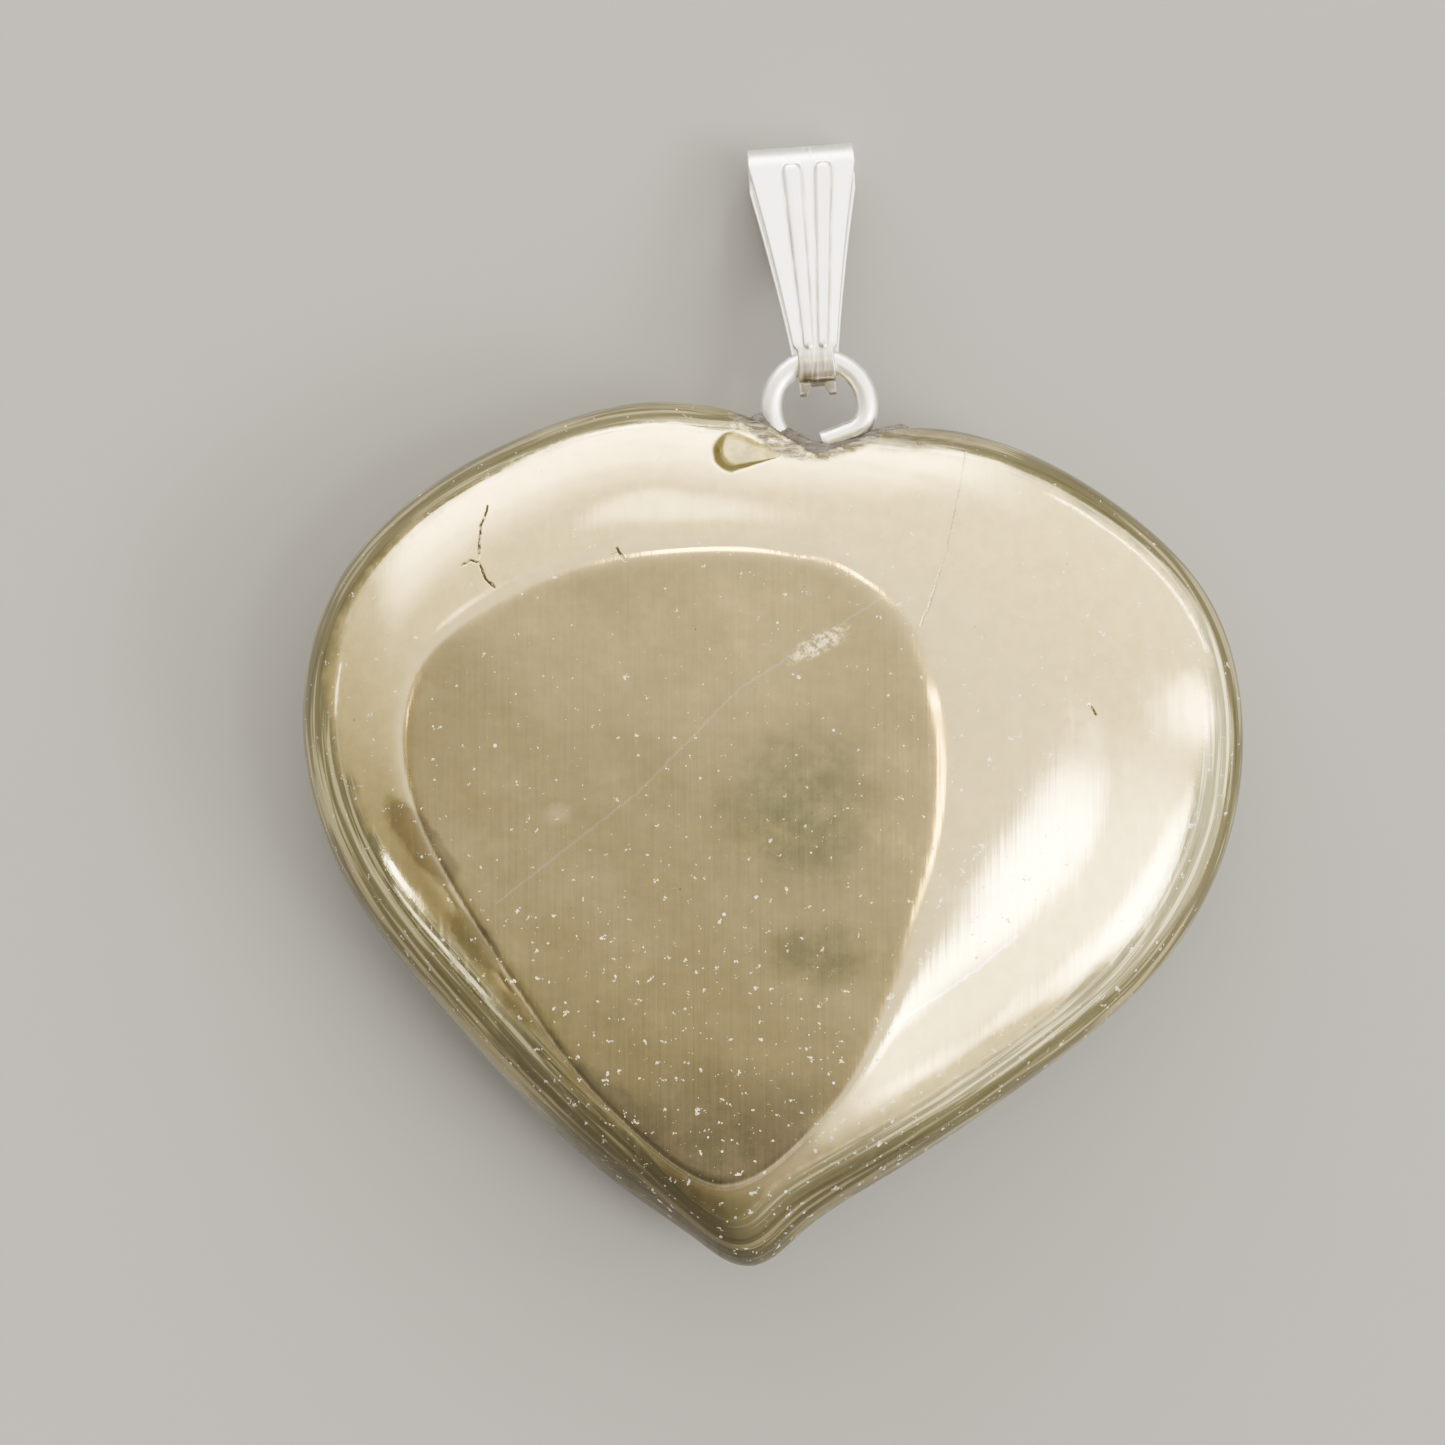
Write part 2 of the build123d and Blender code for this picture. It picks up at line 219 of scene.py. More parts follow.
def stone_columns():
    """Table and girdle points all the way round the stone, moved into the CAD frame."""
    left = half_outline(
        [NOTCH_TABLE, *LEFT_TABLE, TIP_TABLE],
        [NOTCH, *LEFT_GIRDLE, TIP],
        (TABLE_LEFT_WAY, TIP_WAY),
        (NOTCH_LEFT_WAY, TIP_WAY),
    )
    right = half_outline(
        [TIP_TABLE, *RIGHT_TABLE, NOTCH_TABLE],
        [TIP, *RIGHT_GIRDLE, NOTCH],
        (TIP_WAY, TABLE_RIGHT_WAY),
        (TIP_WAY, NOTCH_RIGHT_WAY),
    )
    places = left + right
    table = np.array([p[0] for p in places])
    girdle = np.array([p[1] for p in places])
    return table, girdle


def frame_shift(girdle):
    """How far the outline's own numbers lie from the CAD frame, found from the CAD stone."""
    low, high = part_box("heart_stone")
    middle = (girdle.min(axis=0) + girdle.max(axis=0)) / 2
    return Vector(((low.x + high.x) / 2 - middle[0], (low.y + high.y) / 2 - middle[1], 0))


TABLE_EDGE, GIRDLE = stone_columns()
SHIFT = frame_shift(GIRDLE)


# ---- mesh helpers ----
def new_object(name, verts, faces, sharp_angle=None):
    """A smooth-shaded mesh object in the scene."""
    mesh = bpy.data.meshes.new(name)
    mesh.from_pydata([tuple(v) for v in verts], [], faces)
    mesh.validate()
    mesh.polygons.foreach_set("use_smooth", [True] * len(mesh.polygons))
    if sharp_angle:
        mesh.set_sharp_from_angle(angle=math.radians(sharp_angle))
    obj = bpy.data.objects.new(name, mesh)
    bpy.context.scene.collection.objects.link(obj)
    return obj


def add_attribute(obj, name, values):
    """Stores one number per vertex, for the material to read."""
    layer = obj.data.attributes.new(name, "FLOAT", "POINT")
    layer.data.foreach_set("value", values)


def shade_smooth(obj):
    """Smooth shading on every face."""
    obj.data.polygons.foreach_set("use_smooth", [True] * len(obj.data.polygons))


def apply_modifiers(obj):
    """Replaces the object's mesh by what its modifiers make of it."""
    graph = bpy.context.evaluated_depsgraph_get()
    mesh = bpy.data.meshes.new_from_object(obj.evaluated_get(graph), depsgraph=graph)
    obj.modifiers.clear()
    obj.data = mesh


def keep_largest_part(mesh):
    """Removes the loose crumbs that an even skin leaves beside the main piece."""
    form = bmesh.new()
    form.from_mesh(mesh)
    unseen = set(form.verts)
    parts = []
    while unseen:
        waiting = [unseen.pop()]
        part = []
        while waiting:
            vertex = waiting.pop()
            part.append(vertex)
            others = {link.other_vert(vertex) for link in vertex.link_edges} & unseen
            unseen -= others
            waiting += others
        parts.append(part)
    parts.sort(key=len)
    bmesh.ops.delete(form, geom=sum(parts[:-1], []), context="VERTS")
    form.to_mesh(mesh)
    form.free()


def ring_faces(rings, count):
    """Quads between rings of vertices that follow each other."""
    faces = []
    for ring in range(rings - 1):
        low = ring * count
        for i in range(count):
            j = (i + 1) % count
            faces.append((low + i, low + j, low + count + j, low + count + i))
    return faces


def turned_over(faces):
    """The same faces turned over, for loops that run clockwise seen from outside."""
    return [tuple(reversed(face)) for face in faces]


def smooth_step(value, start, end):
    """0 before start, 1 after end, and smooth between them."""
    t = min(max((value - start) / (end - start), 0.0), 1.0)
    return t * t * (3 - 2 * t)


# ---- the stone ----
def shoulder_profile(rings):
    """Part of the way out and part of the rise, from the table's edge to the girdle."""
    steps = []
    for ring in range(rings + 1):
        angle = 0.5 * math.pi * ring / rings
        steps.append((math.sin(angle) ** (2 / SHOULDER_POWER), math.cos(angle) ** (2 / RIM_POWER)))
    return steps


def shoulder_fall(distance, width):
    """How far the shoulder lies below the table at a distance out from the table's edge."""
    part = min(max(distance / width, 0.0), 1.0)
    return GIRDLE_HEIGHT * (1 - (1 - part**SHOULDER_POWER) ** (1 / RIM_POWER))


def edge_drop(distance, width):
    """How far the rounding of the table's edge lies below the sharp edge it replaced."""
    reach = TABLE_EDGE_ROUND * (1 - smooth_step(distance / width, *EDGE_ROUND_FADES))
    if distance < -TABLE_EDGE_ROUND or reach <= 0:
        return 0.0
    samples = [step / 4 for step in range(-4, 5)]
    weights = [1.125 - abs(step) for step in samples]      # a tent that ends just above 0
    falls = [shoulder_fall(distance + reach * step, width) * w for step, w in zip(samples, weights)]
    return sum(falls) / sum(weights) - shoulder_fall(distance, width)


def notch_ratios(table, girdle):
    """How much of its full width the shoulder keeps in each column, under 1 at the notch.

    The shoulder was ground before the notch was cut, so it runs on towards an unbroken rim.
    """
    ratios = np.ones(len(table))
    left, right = Vector((*LEFT_GIRDLE[1], 0)) + SHIFT, Vector((*RIGHT_GIRDLE[-2], 0)) + SHIFT
    for i, (inner, outer) in enumerate(zip(table, girdle)):
        part = (outer[0] - left.x) / (right.x - left.x)
        if inner[1] > 0 and 0 < part < 1:
            unbroken = left.y + (right.y - left.y) * part + 4 * part * (1 - part) * NOTCH_BULGE
            ratios[i] = min((outer[1] - inner[1]) / (unbroken - inner[1]), 1.0)
    return ratios


def polish_wave(x, y, height):
    """The slow unevenness that hand polishing leaves."""
    slow = noise.noise(Vector((x, y, height)) * SLOW_WAVE_SCALE) * SLOW_WAVE
    quick = noise.noise(Vector((x + 1, y, height * 2)) * QUICK_WAVE_SCALE) * QUICK_WAVE
    return slow + quick


def rim_ripple(x, y, height):
    """Grinding lines round the rim: quick up and down it, slow along it."""
    off_rim = abs(height - GIRDLE_HEIGHT) / GIRDLE_HEIGHT
    strength = RIM_RIPPLE * (1 - smooth_step(off_rim, *RIPPLE_FADES))
    along, up = COARSE_RIPPLE_SCALES
    coarse = noise.noise(Vector((x * along, y * along, height * up)))
    along, up = FINE_RIPPLE_SCALES
    fine = noise.noise(Vector((x * along + 5, y * along, height * up)))
    return strength * (coarse + 0.5 * fine)


def chip_depth(x, y):
    """How deep the flake scar, a drop with its point on the right, is below the surface here."""
    start, end = Vector(CHIP_START), Vector(CHIP_END)
    offset = Vector((x, y)) - SHIFT.xy - start
    run = end - start
    along = min(max(offset.dot(run) / run.length_squared, 0.0), 1.0)
    radius = CHIP_START_RADIUS + (CHIP_END_RADIUS - CHIP_START_RADIUS) * along
    far = (offset - run * along).length / radius
    far += CHIP_WOBBLE * noise.noise(Vector((x, y, 0)) * CHIP_WOBBLE_SCALE)
    return CHIP_DEPTH * (1 - smooth_step(far, CHIP_FLOOR, 1.0)) * (1 - CHIP_SHALLOWING * along)


def half_rings(table, girdle, sign, table_rings, shoulder_rings):
    """Rings of one half, from the middle of its table: points, height and distances.

    The distances are out from the table's edge.  Sign is 1 on the front and -1 on the back.
    """
    centre = table.mean(axis=0)
    width = np.linalg.norm(girdle - table, axis=1)
    inward = np.linalg.norm(table - centre, axis=1)
    ratios = notch_ratios(table, girdle)
    rings = []
    for ring in range(1, table_rings):
        part = math.sin(0.5 * math.pi * ring / table_rings)
        height = GIRDLE_HEIGHT + sign * (GIRDLE_HEIGHT - TABLE_CROWN * part * part)
        rings.append((centre + (table - centre) * part, height, inward * (part - 1)))
    for out, rise in shoulder_profile(shoulder_rings):
        height = GIRDLE_HEIGHT + sign * (GIRDLE_HEIGHT - TABLE_CROWN) * rise
        outs = np.minimum(out / ratios, 1.0)
        rings.append((table + (girdle - table) * outs[:, None], height, width * outs))
    return rings


def stone_mesh():
    """The whole polished stone as rings, from the middle of the front to that of the back.

    The last list has each point's distance from the unbroken rim.
    """
    table = TABLE_EDGE + np.array(SHIFT.xy)
    girdle = GIRDLE + np.array(SHIFT.xy)
    width = np.linalg.norm(girdle - table, axis=1)
    outward = (girdle - table) / width[:, None]
    full_width = width / notch_ratios(table, girdle)
    front = half_rings(table, girdle, 1, FRONT_TABLE_RINGS, FRONT_SHOULDER_RINGS)
    back = half_rings(table, girdle, -1, BACK_TABLE_RINGS, BACK_SHOULDER_RINGS)
    back = back[-2::-1]     # towards the middle, without the girdle that the front has
    verts, from_rim = [], []
    for ring, (points, height, distances) in enumerate(front + back):
        sign = 1 if ring < len(front) else -1
        for i, (x, y) in enumerate(points):
            wave = polish_wave(x, y, height) * sign
            drop = edge_drop(distances[i], width[i]) * sign
            dip = chip_depth(x, y) if sign > 0 else 0
            ripple = rim_ripple(x, y, height)
            push = outward[i] * ripple
            verts.append((x + push[0], y + push[1], height + wave - drop - dip + ripple * sign))
            from_rim.append(full_width[i] - distances[i])
    count = len(table)
    rings = len(verts) // count
    faces = ring_faces(rings, count)
    centre = table.mean(axis=0)
    front_pole, back_pole = len(verts), len(verts) + 1
    verts.append((*centre, STONE_THICKNESS + polish_wave(*centre, STONE_THICKNESS)))
    verts.append((*centre, 0.0))
    from_rim += [INSIDE_FROM_RIM, INSIDE_FROM_RIM]
    last = (rings - 1) * count
    for i in range(count):
        j = (i + 1) % count
        faces.append((front_pole, j, i))
        faces.append((back_pole, last + i, last + j))
    level = [(x, y, max(z, 0.0)) for x, y, z in verts]
    return level, turned_over(faces), from_rim


def arc(middle, radius, start, end, step=math.radians(4)):
    """Points along an arc, with its first point and without its last."""
    count = max(2, round(abs(end - start) / step))
    angles = [start + (end - start) * i / count for i in range(count)]
    return [middle + radius * Vector((math.cos(a), math.sin(a), 0)) for a in angles]


def wire_path(post_length, right_leg_length):
    """The middle line of the eye pin, from the foot of the post to the cut right end."""
    lean, turn = LEFT_LEG_LEAN, RIGHT_TURN
    eye = Vector((*EYE_MIDDLE, GIRDLE_HEIGHT)) + SHIFT
    leg_top = eye - EYE_RADIUS * Vector((math.cos(lean), math.sin(lean), 0))
    leg_end = leg_top + LEFT_LEG_LENGTH * Vector((math.sin(lean), -math.cos(lean), 0))
    bend = leg_end - POST_BEND_RADIUS * Vector((math.cos(lean), math.sin(lean), 0))
    post_top = bend + Vector((POST_BEND_RADIUS, 0, 0))
    turn_middle = eye + Vector((EYE_RADIUS - RIGHT_TURN_RADIUS, 0, 0))
    turn_end = turn_middle + RIGHT_TURN_RADIUS * Vector((math.cos(turn), -math.sin(turn), 0))
    right_way = Vector((-math.sin(turn), -math.cos(turn), 0))
    post = [post_top + Vector((0, -post_length * (1 - i / 10), 0)) for i in range(10)]
    legs = [leg_end + (leg_top - leg_end) * i / 6 for i in range(6)]
    right = [turn_end + right_way * right_leg_length * i / 8 for i in range(9)]
    return (
        post
        + arc(bend, POST_BEND_RADIUS, 0, lean)
        + legs
        + arc(eye, EYE_RADIUS, math.pi + lean, 0)
        + arc(turn_middle, RIGHT_TURN_RADIUS, 0, -turn)
        + right
    )


def tube(path, radius, sides=40, end_round=0.0):
    """A round bar along a path in a level plane, with slightly rounded ends."""
    verts = []
    last = len(path) - 1
    stations = [(i, 1.0, 0.0) for i in range(last + 1)]
    if end_round:
        inset = [(0.0, 0.72), (0.3, 0.93)]
        start = [(0, scale, -end_round * (1 - back)) for back, scale in inset]
        stop = [(last, scale, end_round * (1 - back)) for back, scale in reversed(inset)]
        stations = start + stations + stop
    for i, scale, shift in stations:
        before, after = path[max(i - 1, 0)], path[min(i + 1, last)]
        way = (after - before).normalized()
        side = Vector((way.y, -way.x, 0))
        middle = path[i] + way * shift
        for k in range(sides):
            turn = 2 * math.pi * k / sides
            offset = side * math.cos(turn) + Vector((0, 0, math.sin(turn)))
            verts.append(middle + offset * radius * scale)
    rings = len(stations)
    faces = ring_faces(rings, sides)
    faces.append(tuple(reversed(range(sides))))
    faces.append(tuple(range((rings - 1) * sides, rings * sides)))
    return verts, turned_over(faces)


def make_stone(material):
    """The visible stone: its polished surface, its chip and its drilled hole."""
    verts, faces, from_rim = stone_mesh()
    stone = new_object("polished_heart", verts, faces)
    add_attribute(stone, "from_rim", from_rim)
    path = wire_path(POST_LENGTH + HOLE_OVERRUN, RIGHT_LEG_LENGTH + HOLE_GAP)
    cutter = new_object("drill", *tube(path, WIRE_RADIUS + HOLE_GAP, sides=32))
    drill = stone.modifiers.new("drill", "BOOLEAN")
    drill.operation = "DIFFERENCE"
    drill.object = cutter
    drill.solver = "EXACT"
    apply_modifiers(stone)
    bpy.data.objects.remove(cutter)
    shade_smooth(stone)
    stone.data.set_sharp_from_angle(angle=math.radians(38))
    stone.data.materials.clear()
    stone.data.materials.append(material)
    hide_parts("heart_stone")
    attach(stone, "heart")


def make_pin(material):
    """The bent wire."""
    path = wire_path(POST_LENGTH, RIGHT_LEG_LENGTH)
    verts, faces = tube(path, WIRE_RADIUS, end_round=WIRE_END_ROUND)
    pin = new_object("wire_eye_pin", verts, faces, sharp_angle=50)
    pin.data.materials.append(material)
    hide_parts("eye_pin")
    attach(pin, "heart")


def make_adhesive(material):
    """The set adhesive: the CAD piece with a lumpy, scuffed skin."""
    source = frame["nodes"]["adhesive"]
    glue = bpy.data.objects.new("set_adhesive_pad", source.data.copy())
    bpy.context.scene.collection.objects.link(glue)
    remesh = glue.modifiers.new("even", "REMESH")
    remesh.mode = "VOXEL"
    remesh.voxel_size = ADHESIVE_MESH_SIZE
    soften = glue.modifiers.new("soften", "SMOOTH")
    soften.iterations = 3
    apply_modifiers(glue)
    keep_largest_part(glue.data)
    normals = [v.normal.copy() for v in glue.data.vertices]
    for vertex, normal in zip(glue.data.vertices, normals):
        lump = noise.noise(vertex.co * LUMP_SCALE) * LUMP
        grain = noise.noise(vertex.co * GRAIN_SCALE) * GRAIN
        vertex.co += normal * (lump + grain)
    shade_smooth(glue)
    glue.data.materials.clear()
    glue.data.materials.append(material)
    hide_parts("adhesive")
    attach(glue, "heart")


# ---- the bail ----
BACK_OFFSET = CURL_RADIUS + STRIP + LEAF_GAP
FOLD_OFFSET = FOLD_RADIUS - BACK_OFFSET


def front_leaf():
    """The two ends of the front leaf's middle line, and its outward normal, in side view."""
    reach = math.hypot(FOLD_DISTANCE, FOLD_OFFSET)
    angle = math.pi / 2 + math.asin((FOLD_RADIUS - CURL_RADIUS) / reach)
    angle += math.atan2(FOLD_OFFSET, FOLD_DISTANCE)
    normal = Vector((math.cos(angle), math.sin(angle)))
    top = Vector((FOLD_DISTANCE, FOLD_OFFSET)) + FOLD_RADIUS * normal
    return top, CURL_RADIUS * normal, normal


def bend(middle, radius, start, turn, steps, tarnish):
    """Stations round a bend of the sheet, with its first one and without its last."""
    stations = []
    for i in range(steps):
        angle = start + turn * i / steps
        way = Vector((math.cos(angle), math.sin(angle)))
        along, front = middle[0] + radius * way.x, middle[1] + radius * way.y
        stations.append((along, front, way, None, tarnish))
    return stations


def strip_stations():
    """The sheet's middle line from its tail to the end of the curl, with outward normals.

    Each station is its place along the bail, its place towards the front, the normal, its
    distance up the front leaf from the curl (None elsewhere), and how tarnished it is.
    """
    stations = []
    for i in range(BACK_STEPS):
        along = -TAIL_DISTANCE + (FOLD_DISTANCE + TAIL_DISTANCE) * (i / BACK_STEPS)
        stations.append((along, -BACK_OFFSET, Vector((0, -1)), None, BACK_TARNISH))
    top, bottom, normal = front_leaf()
    fold_end = math.atan2(normal.y, normal.x)
    fold_turn = fold_end + math.pi / 2
    fold = (FOLD_DISTANCE, FOLD_OFFSET)
    stations += bend(fold, FOLD_RADIUS, -math.pi / 2, fold_turn, FOLD_STEPS, FOLD_TARNISH)
    leaf = (top - bottom).length
    for i in range(LEAF_STEPS):
        down = leaf * (1 - i / LEAF_STEPS)
        point = bottom + (top - bottom) * down / leaf
        tongue = 1 - smooth_step(down, NECK_DISTANCE * 0.5, NECK_DISTANCE * 1.5)
        stations.append((point.x, point.y, normal, down, CURL_TARNISH * tongue))
    stations += bend((0, 0), CURL_RADIUS, fold_end, CURL_TURN, CURL_STEPS, CURL_TARNISH)
    stations += bend((0, 0), CURL_RADIUS, fold_end + CURL_TURN, 0, 1, CURL_TARNISH)
    return stations


def half_width(along):
    """Half the sheet's width at a place along the bail."""
    if along <= TONGUE_DISTANCE:
        return TONGUE_WIDTH / 2
    if along < NECK_DISTANCE:
        part = smooth_step(along, TONGUE_DISTANCE, NECK_DISTANCE)
        return (TONGUE_WIDTH + (NECK_WIDTH - TONGUE_WIDTH) * part) / 2
    part = min((along - NECK_DISTANCE) / (FOLD_DISTANCE - NECK_DISTANCE), 1.0)
    hollow = 4 * part * (1 - part) * SIDE_HOLLOW
    return (NECK_WIDTH + (FOLD_WIDTH - NECK_WIDTH) * part) / 2 - hollow


def rib_height(across, down):
    """How far the ribs stand out of the front leaf here, and how near a rib's foot is."""
    height = 0.0
    groove = 0.0
    for rib in RIBS:
        part = (down - RIB_BOTTOM) / (RIB_TOP - RIB_BOTTOM)
        clipped = min(max(part, 0.0), 1.0)
        middle = rib["bottom"][0] + (rib["top"][0] - rib["bottom"][0]) * clipped
        half = rib["bottom"][1] + (rib["top"][1] - rib["bottom"][1]) * clipped
        past = max(down - RIB_TOP, RIB_BOTTOM - down, 0.0)
        far = math.hypot(across - middle, past) / half
        if far < 1:
            height = max(height, RIB_HEIGHT * half * (1 - far * far) ** RIB_ROUNDNESS)
        off_groove = abs(far - RIB_GROOVE_PLACE) * half / RIB_GROOVE_WIDTH
        groove = max(groove, 1 - min(off_groove, 1.0))
    return height, groove


def tail_reach(across):
    """How far past the hinge line the tail ends: two little feet with a notch between them."""
    start, end = TAIL_NOTCH_SIDES
    foot = smooth_step(abs(across), TAIL_NOTCH_WIDTH * start, TAIL_NOTCH_WIDTH * end)
    return TAIL_DISTANCE - TAIL_NOTCH_DEPTH * (1 - foot)


def bail_place():
    """From the bail's own frame to its rest place, read from the joint."""
    joint = next(j for j in frame["joints"] if j["name"] == "bail_swing")
    drop = GIRDLE_HEIGHT - FOLD_RADIUS - STRIP / 2 - REST_GAP
    reach = math.hypot(FOLD_DISTANCE, FOLD_OFFSET)
    droop = math.asin(drop / reach) + math.atan2(FOLD_OFFSET, FOLD_DISTANCE)
    return (
        Matrix.Translation(Vector(joint["pos_m"]))
        @ Matrix.Rotation(LEAN, 4, "Z")
        @ Matrix.Rotation(-droop, 4, "X")
    )


def sheet_loop(half):
    """Points round the sheet: the place across it, and 1 on its outer face to -1 on its inner."""
    flat = half - EDGE_RADIUS
    turns = [math.pi * i / (EDGE_STEPS + 1) for i in range(1, EDGE_STEPS + 1)]
    steps = range(ACROSS_STEPS + 1)
    loop = [(-flat + 2 * flat * i / ACROSS_STEPS, 1.0) for i in steps]
    loop += [(flat + EDGE_RADIUS * math.sin(turn), math.cos(turn)) for turn in turns]
    loop += [(flat - 2 * flat * i / ACROSS_STEPS, -1.0) for i in steps]
    loop += [(-flat - EDGE_RADIUS * math.sin(turn), -math.cos(turn)) for turn in turns]
    return loop


def feet_reach(along, across):
    """The place along the back leaf, stretched past the hinge line into the two feet."""
    start = TAIL_DISTANCE * FEET_START
    if along >= -start:
        return along
    part = (along + start) / (start - TAIL_DISTANCE)
    return along + part * (TAIL_DISTANCE - tail_reach(across))


def bail_mesh():
    """The folded sheet as a closed skin: one loop of points round the sheet per station.

    The last list has how tarnished each point is.
    """
    place = bail_place()
    verts, tarnishes = [], []
    for along, front, normal, down, tarnish in strip_stations():
        on_back_leaf = down is None and normal.y == -1
        for across, face in sheet_loop(half_width(along)):
            height, groove = (0.0, 0.0) if down is None else rib_height(across, down)
            lift = face * STRIP / 2 + height * (1.0 if face > 0 else INNER_RIB_HEIGHT)
            reach = feet_reach(along, across) if on_back_leaf else along
            verts.append(place @ Vector((across, reach + normal.x * lift, front + normal.y * lift)))
            tarnishes.append(max(groove if face > 0 else 0.0, tarnish))
    count = 2 * (ACROSS_STEPS + 1) + 2 * EDGE_STEPS
    rings = len(verts) // count
    faces = ring_faces(rings, count)
    faces += end_faces(0, False)
    faces += end_faces((rings - 1) * count, True)
    return verts, turned_over(faces), tarnishes


def end_faces(first, forward):
    """Faces that close one end of the sheet, from its outer face to its inner face."""
    faces = []
    outer_end = first + ACROSS_STEPS
    back = outer_end + 1 + EDGE_STEPS
    inner_end = back + ACROSS_STEPS
    for i in range(ACROSS_STEPS):
        faces.append((first + i, first + i + 1, inner_end - i - 1, inner_end - i))
    faces.append((*range(outer_end, back), back))
    faces.append((*range(inner_end, inner_end + 1 + EDGE_STEPS), first))
    return faces if forward else turned_over(faces)


def make_bail(material):
    """The folded bail with its ribs, curl and two little feet."""
    verts, faces, tarnishes = bail_mesh()
    piece = new_object("folded_bail", verts, faces, sharp_angle=50)
    add_attribute(piece, "groove", tarnishes)
    piece.data.materials.append(material)
    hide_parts("bail")
    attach(piece, "bail")


# ---- materials ----
class Nodes:
    """Short ways to add and join nodes in a node tree."""

    def __init__(self, tree):
        self.tree = tree

    def add(self, kind, inputs=(), **settings):
        node = self.tree.nodes.new(kind)
        for key, value in settings.items():
            setattr(node, key, value)
        for key, value in dict(inputs).items():
            self.put(node.inputs[key], value)
        return node

    def put(self, socket, value):
        if isinstance(value, bpy.types.NodeSocket):
            self.tree.links.new(value, socket)
        else:
            socket.default_value = value

    def math(self, operation, a, b=0.0, clamp=False):
        node = self.add("ShaderNodeMath", {0: a, 1: b}, operation=operation, use_clamp=clamp)
        return node.outputs[0]

    def join(self, operation, values):
        """One value from many, two at a time."""
        total = values[0]
        for value in values[1:]:
            total = self.math(operation, total, value)
        return total

    def times(self, *values):
        return self.join("MULTIPLY", values)

    def plus(self, *values):
        return self.join("ADD", values)

    def most(self, *values):
        return self.join("MAXIMUM", values)

    def minus(self, a, b):
        return self.math("SUBTRACT", a, b)

    def vector(self, operation, a, b=(0, 0, 0), output="Vector"):
        node = self.add("ShaderNodeVectorMath", {0: a, 1: b}, operation=operation)
        return node.outputs[output]

    def dot(self, a, b):
        return self.vector("DOT_PRODUCT", a, b, "Value")

    def length(self, a):
        return self.vector("LENGTH", a, output="Value")

    def part(self, vector, axis):
        return self.add("ShaderNodeSeparateXYZ", {0: vector}).outputs[axis]

    def mix(self, factor, a, b):
        node = self.add("ShaderNodeMix", data_type="RGBA", clamp_factor=True)
        self.put(node.inputs["Factor"], factor)
        for socket, value in (("A", a), ("B", b)):
            target = next(s for s in node.inputs if s.name == socket and s.type == "RGBA")
            self.put(target, value if isinstance(value, bpy.types.NodeSocket) else (*value, 1))
        return next(s for s in node.outputs if s.type == "RGBA")

    def ramp(self, value, low, high, start=0.0, end=1.0):
        """A smooth change from start to end while value goes from low to high."""
        node = self.add("ShaderNodeMapRange", {
            "Value": value, "From Min": low, "From Max": high, "To Min": start, "To Max": end,
        }, interpolation_type="SMOOTHSTEP")
        return node.outputs["Result"]

    def fall(self, value, low, high):
        return self.ramp(value, low, high, 1.0, 0.0)


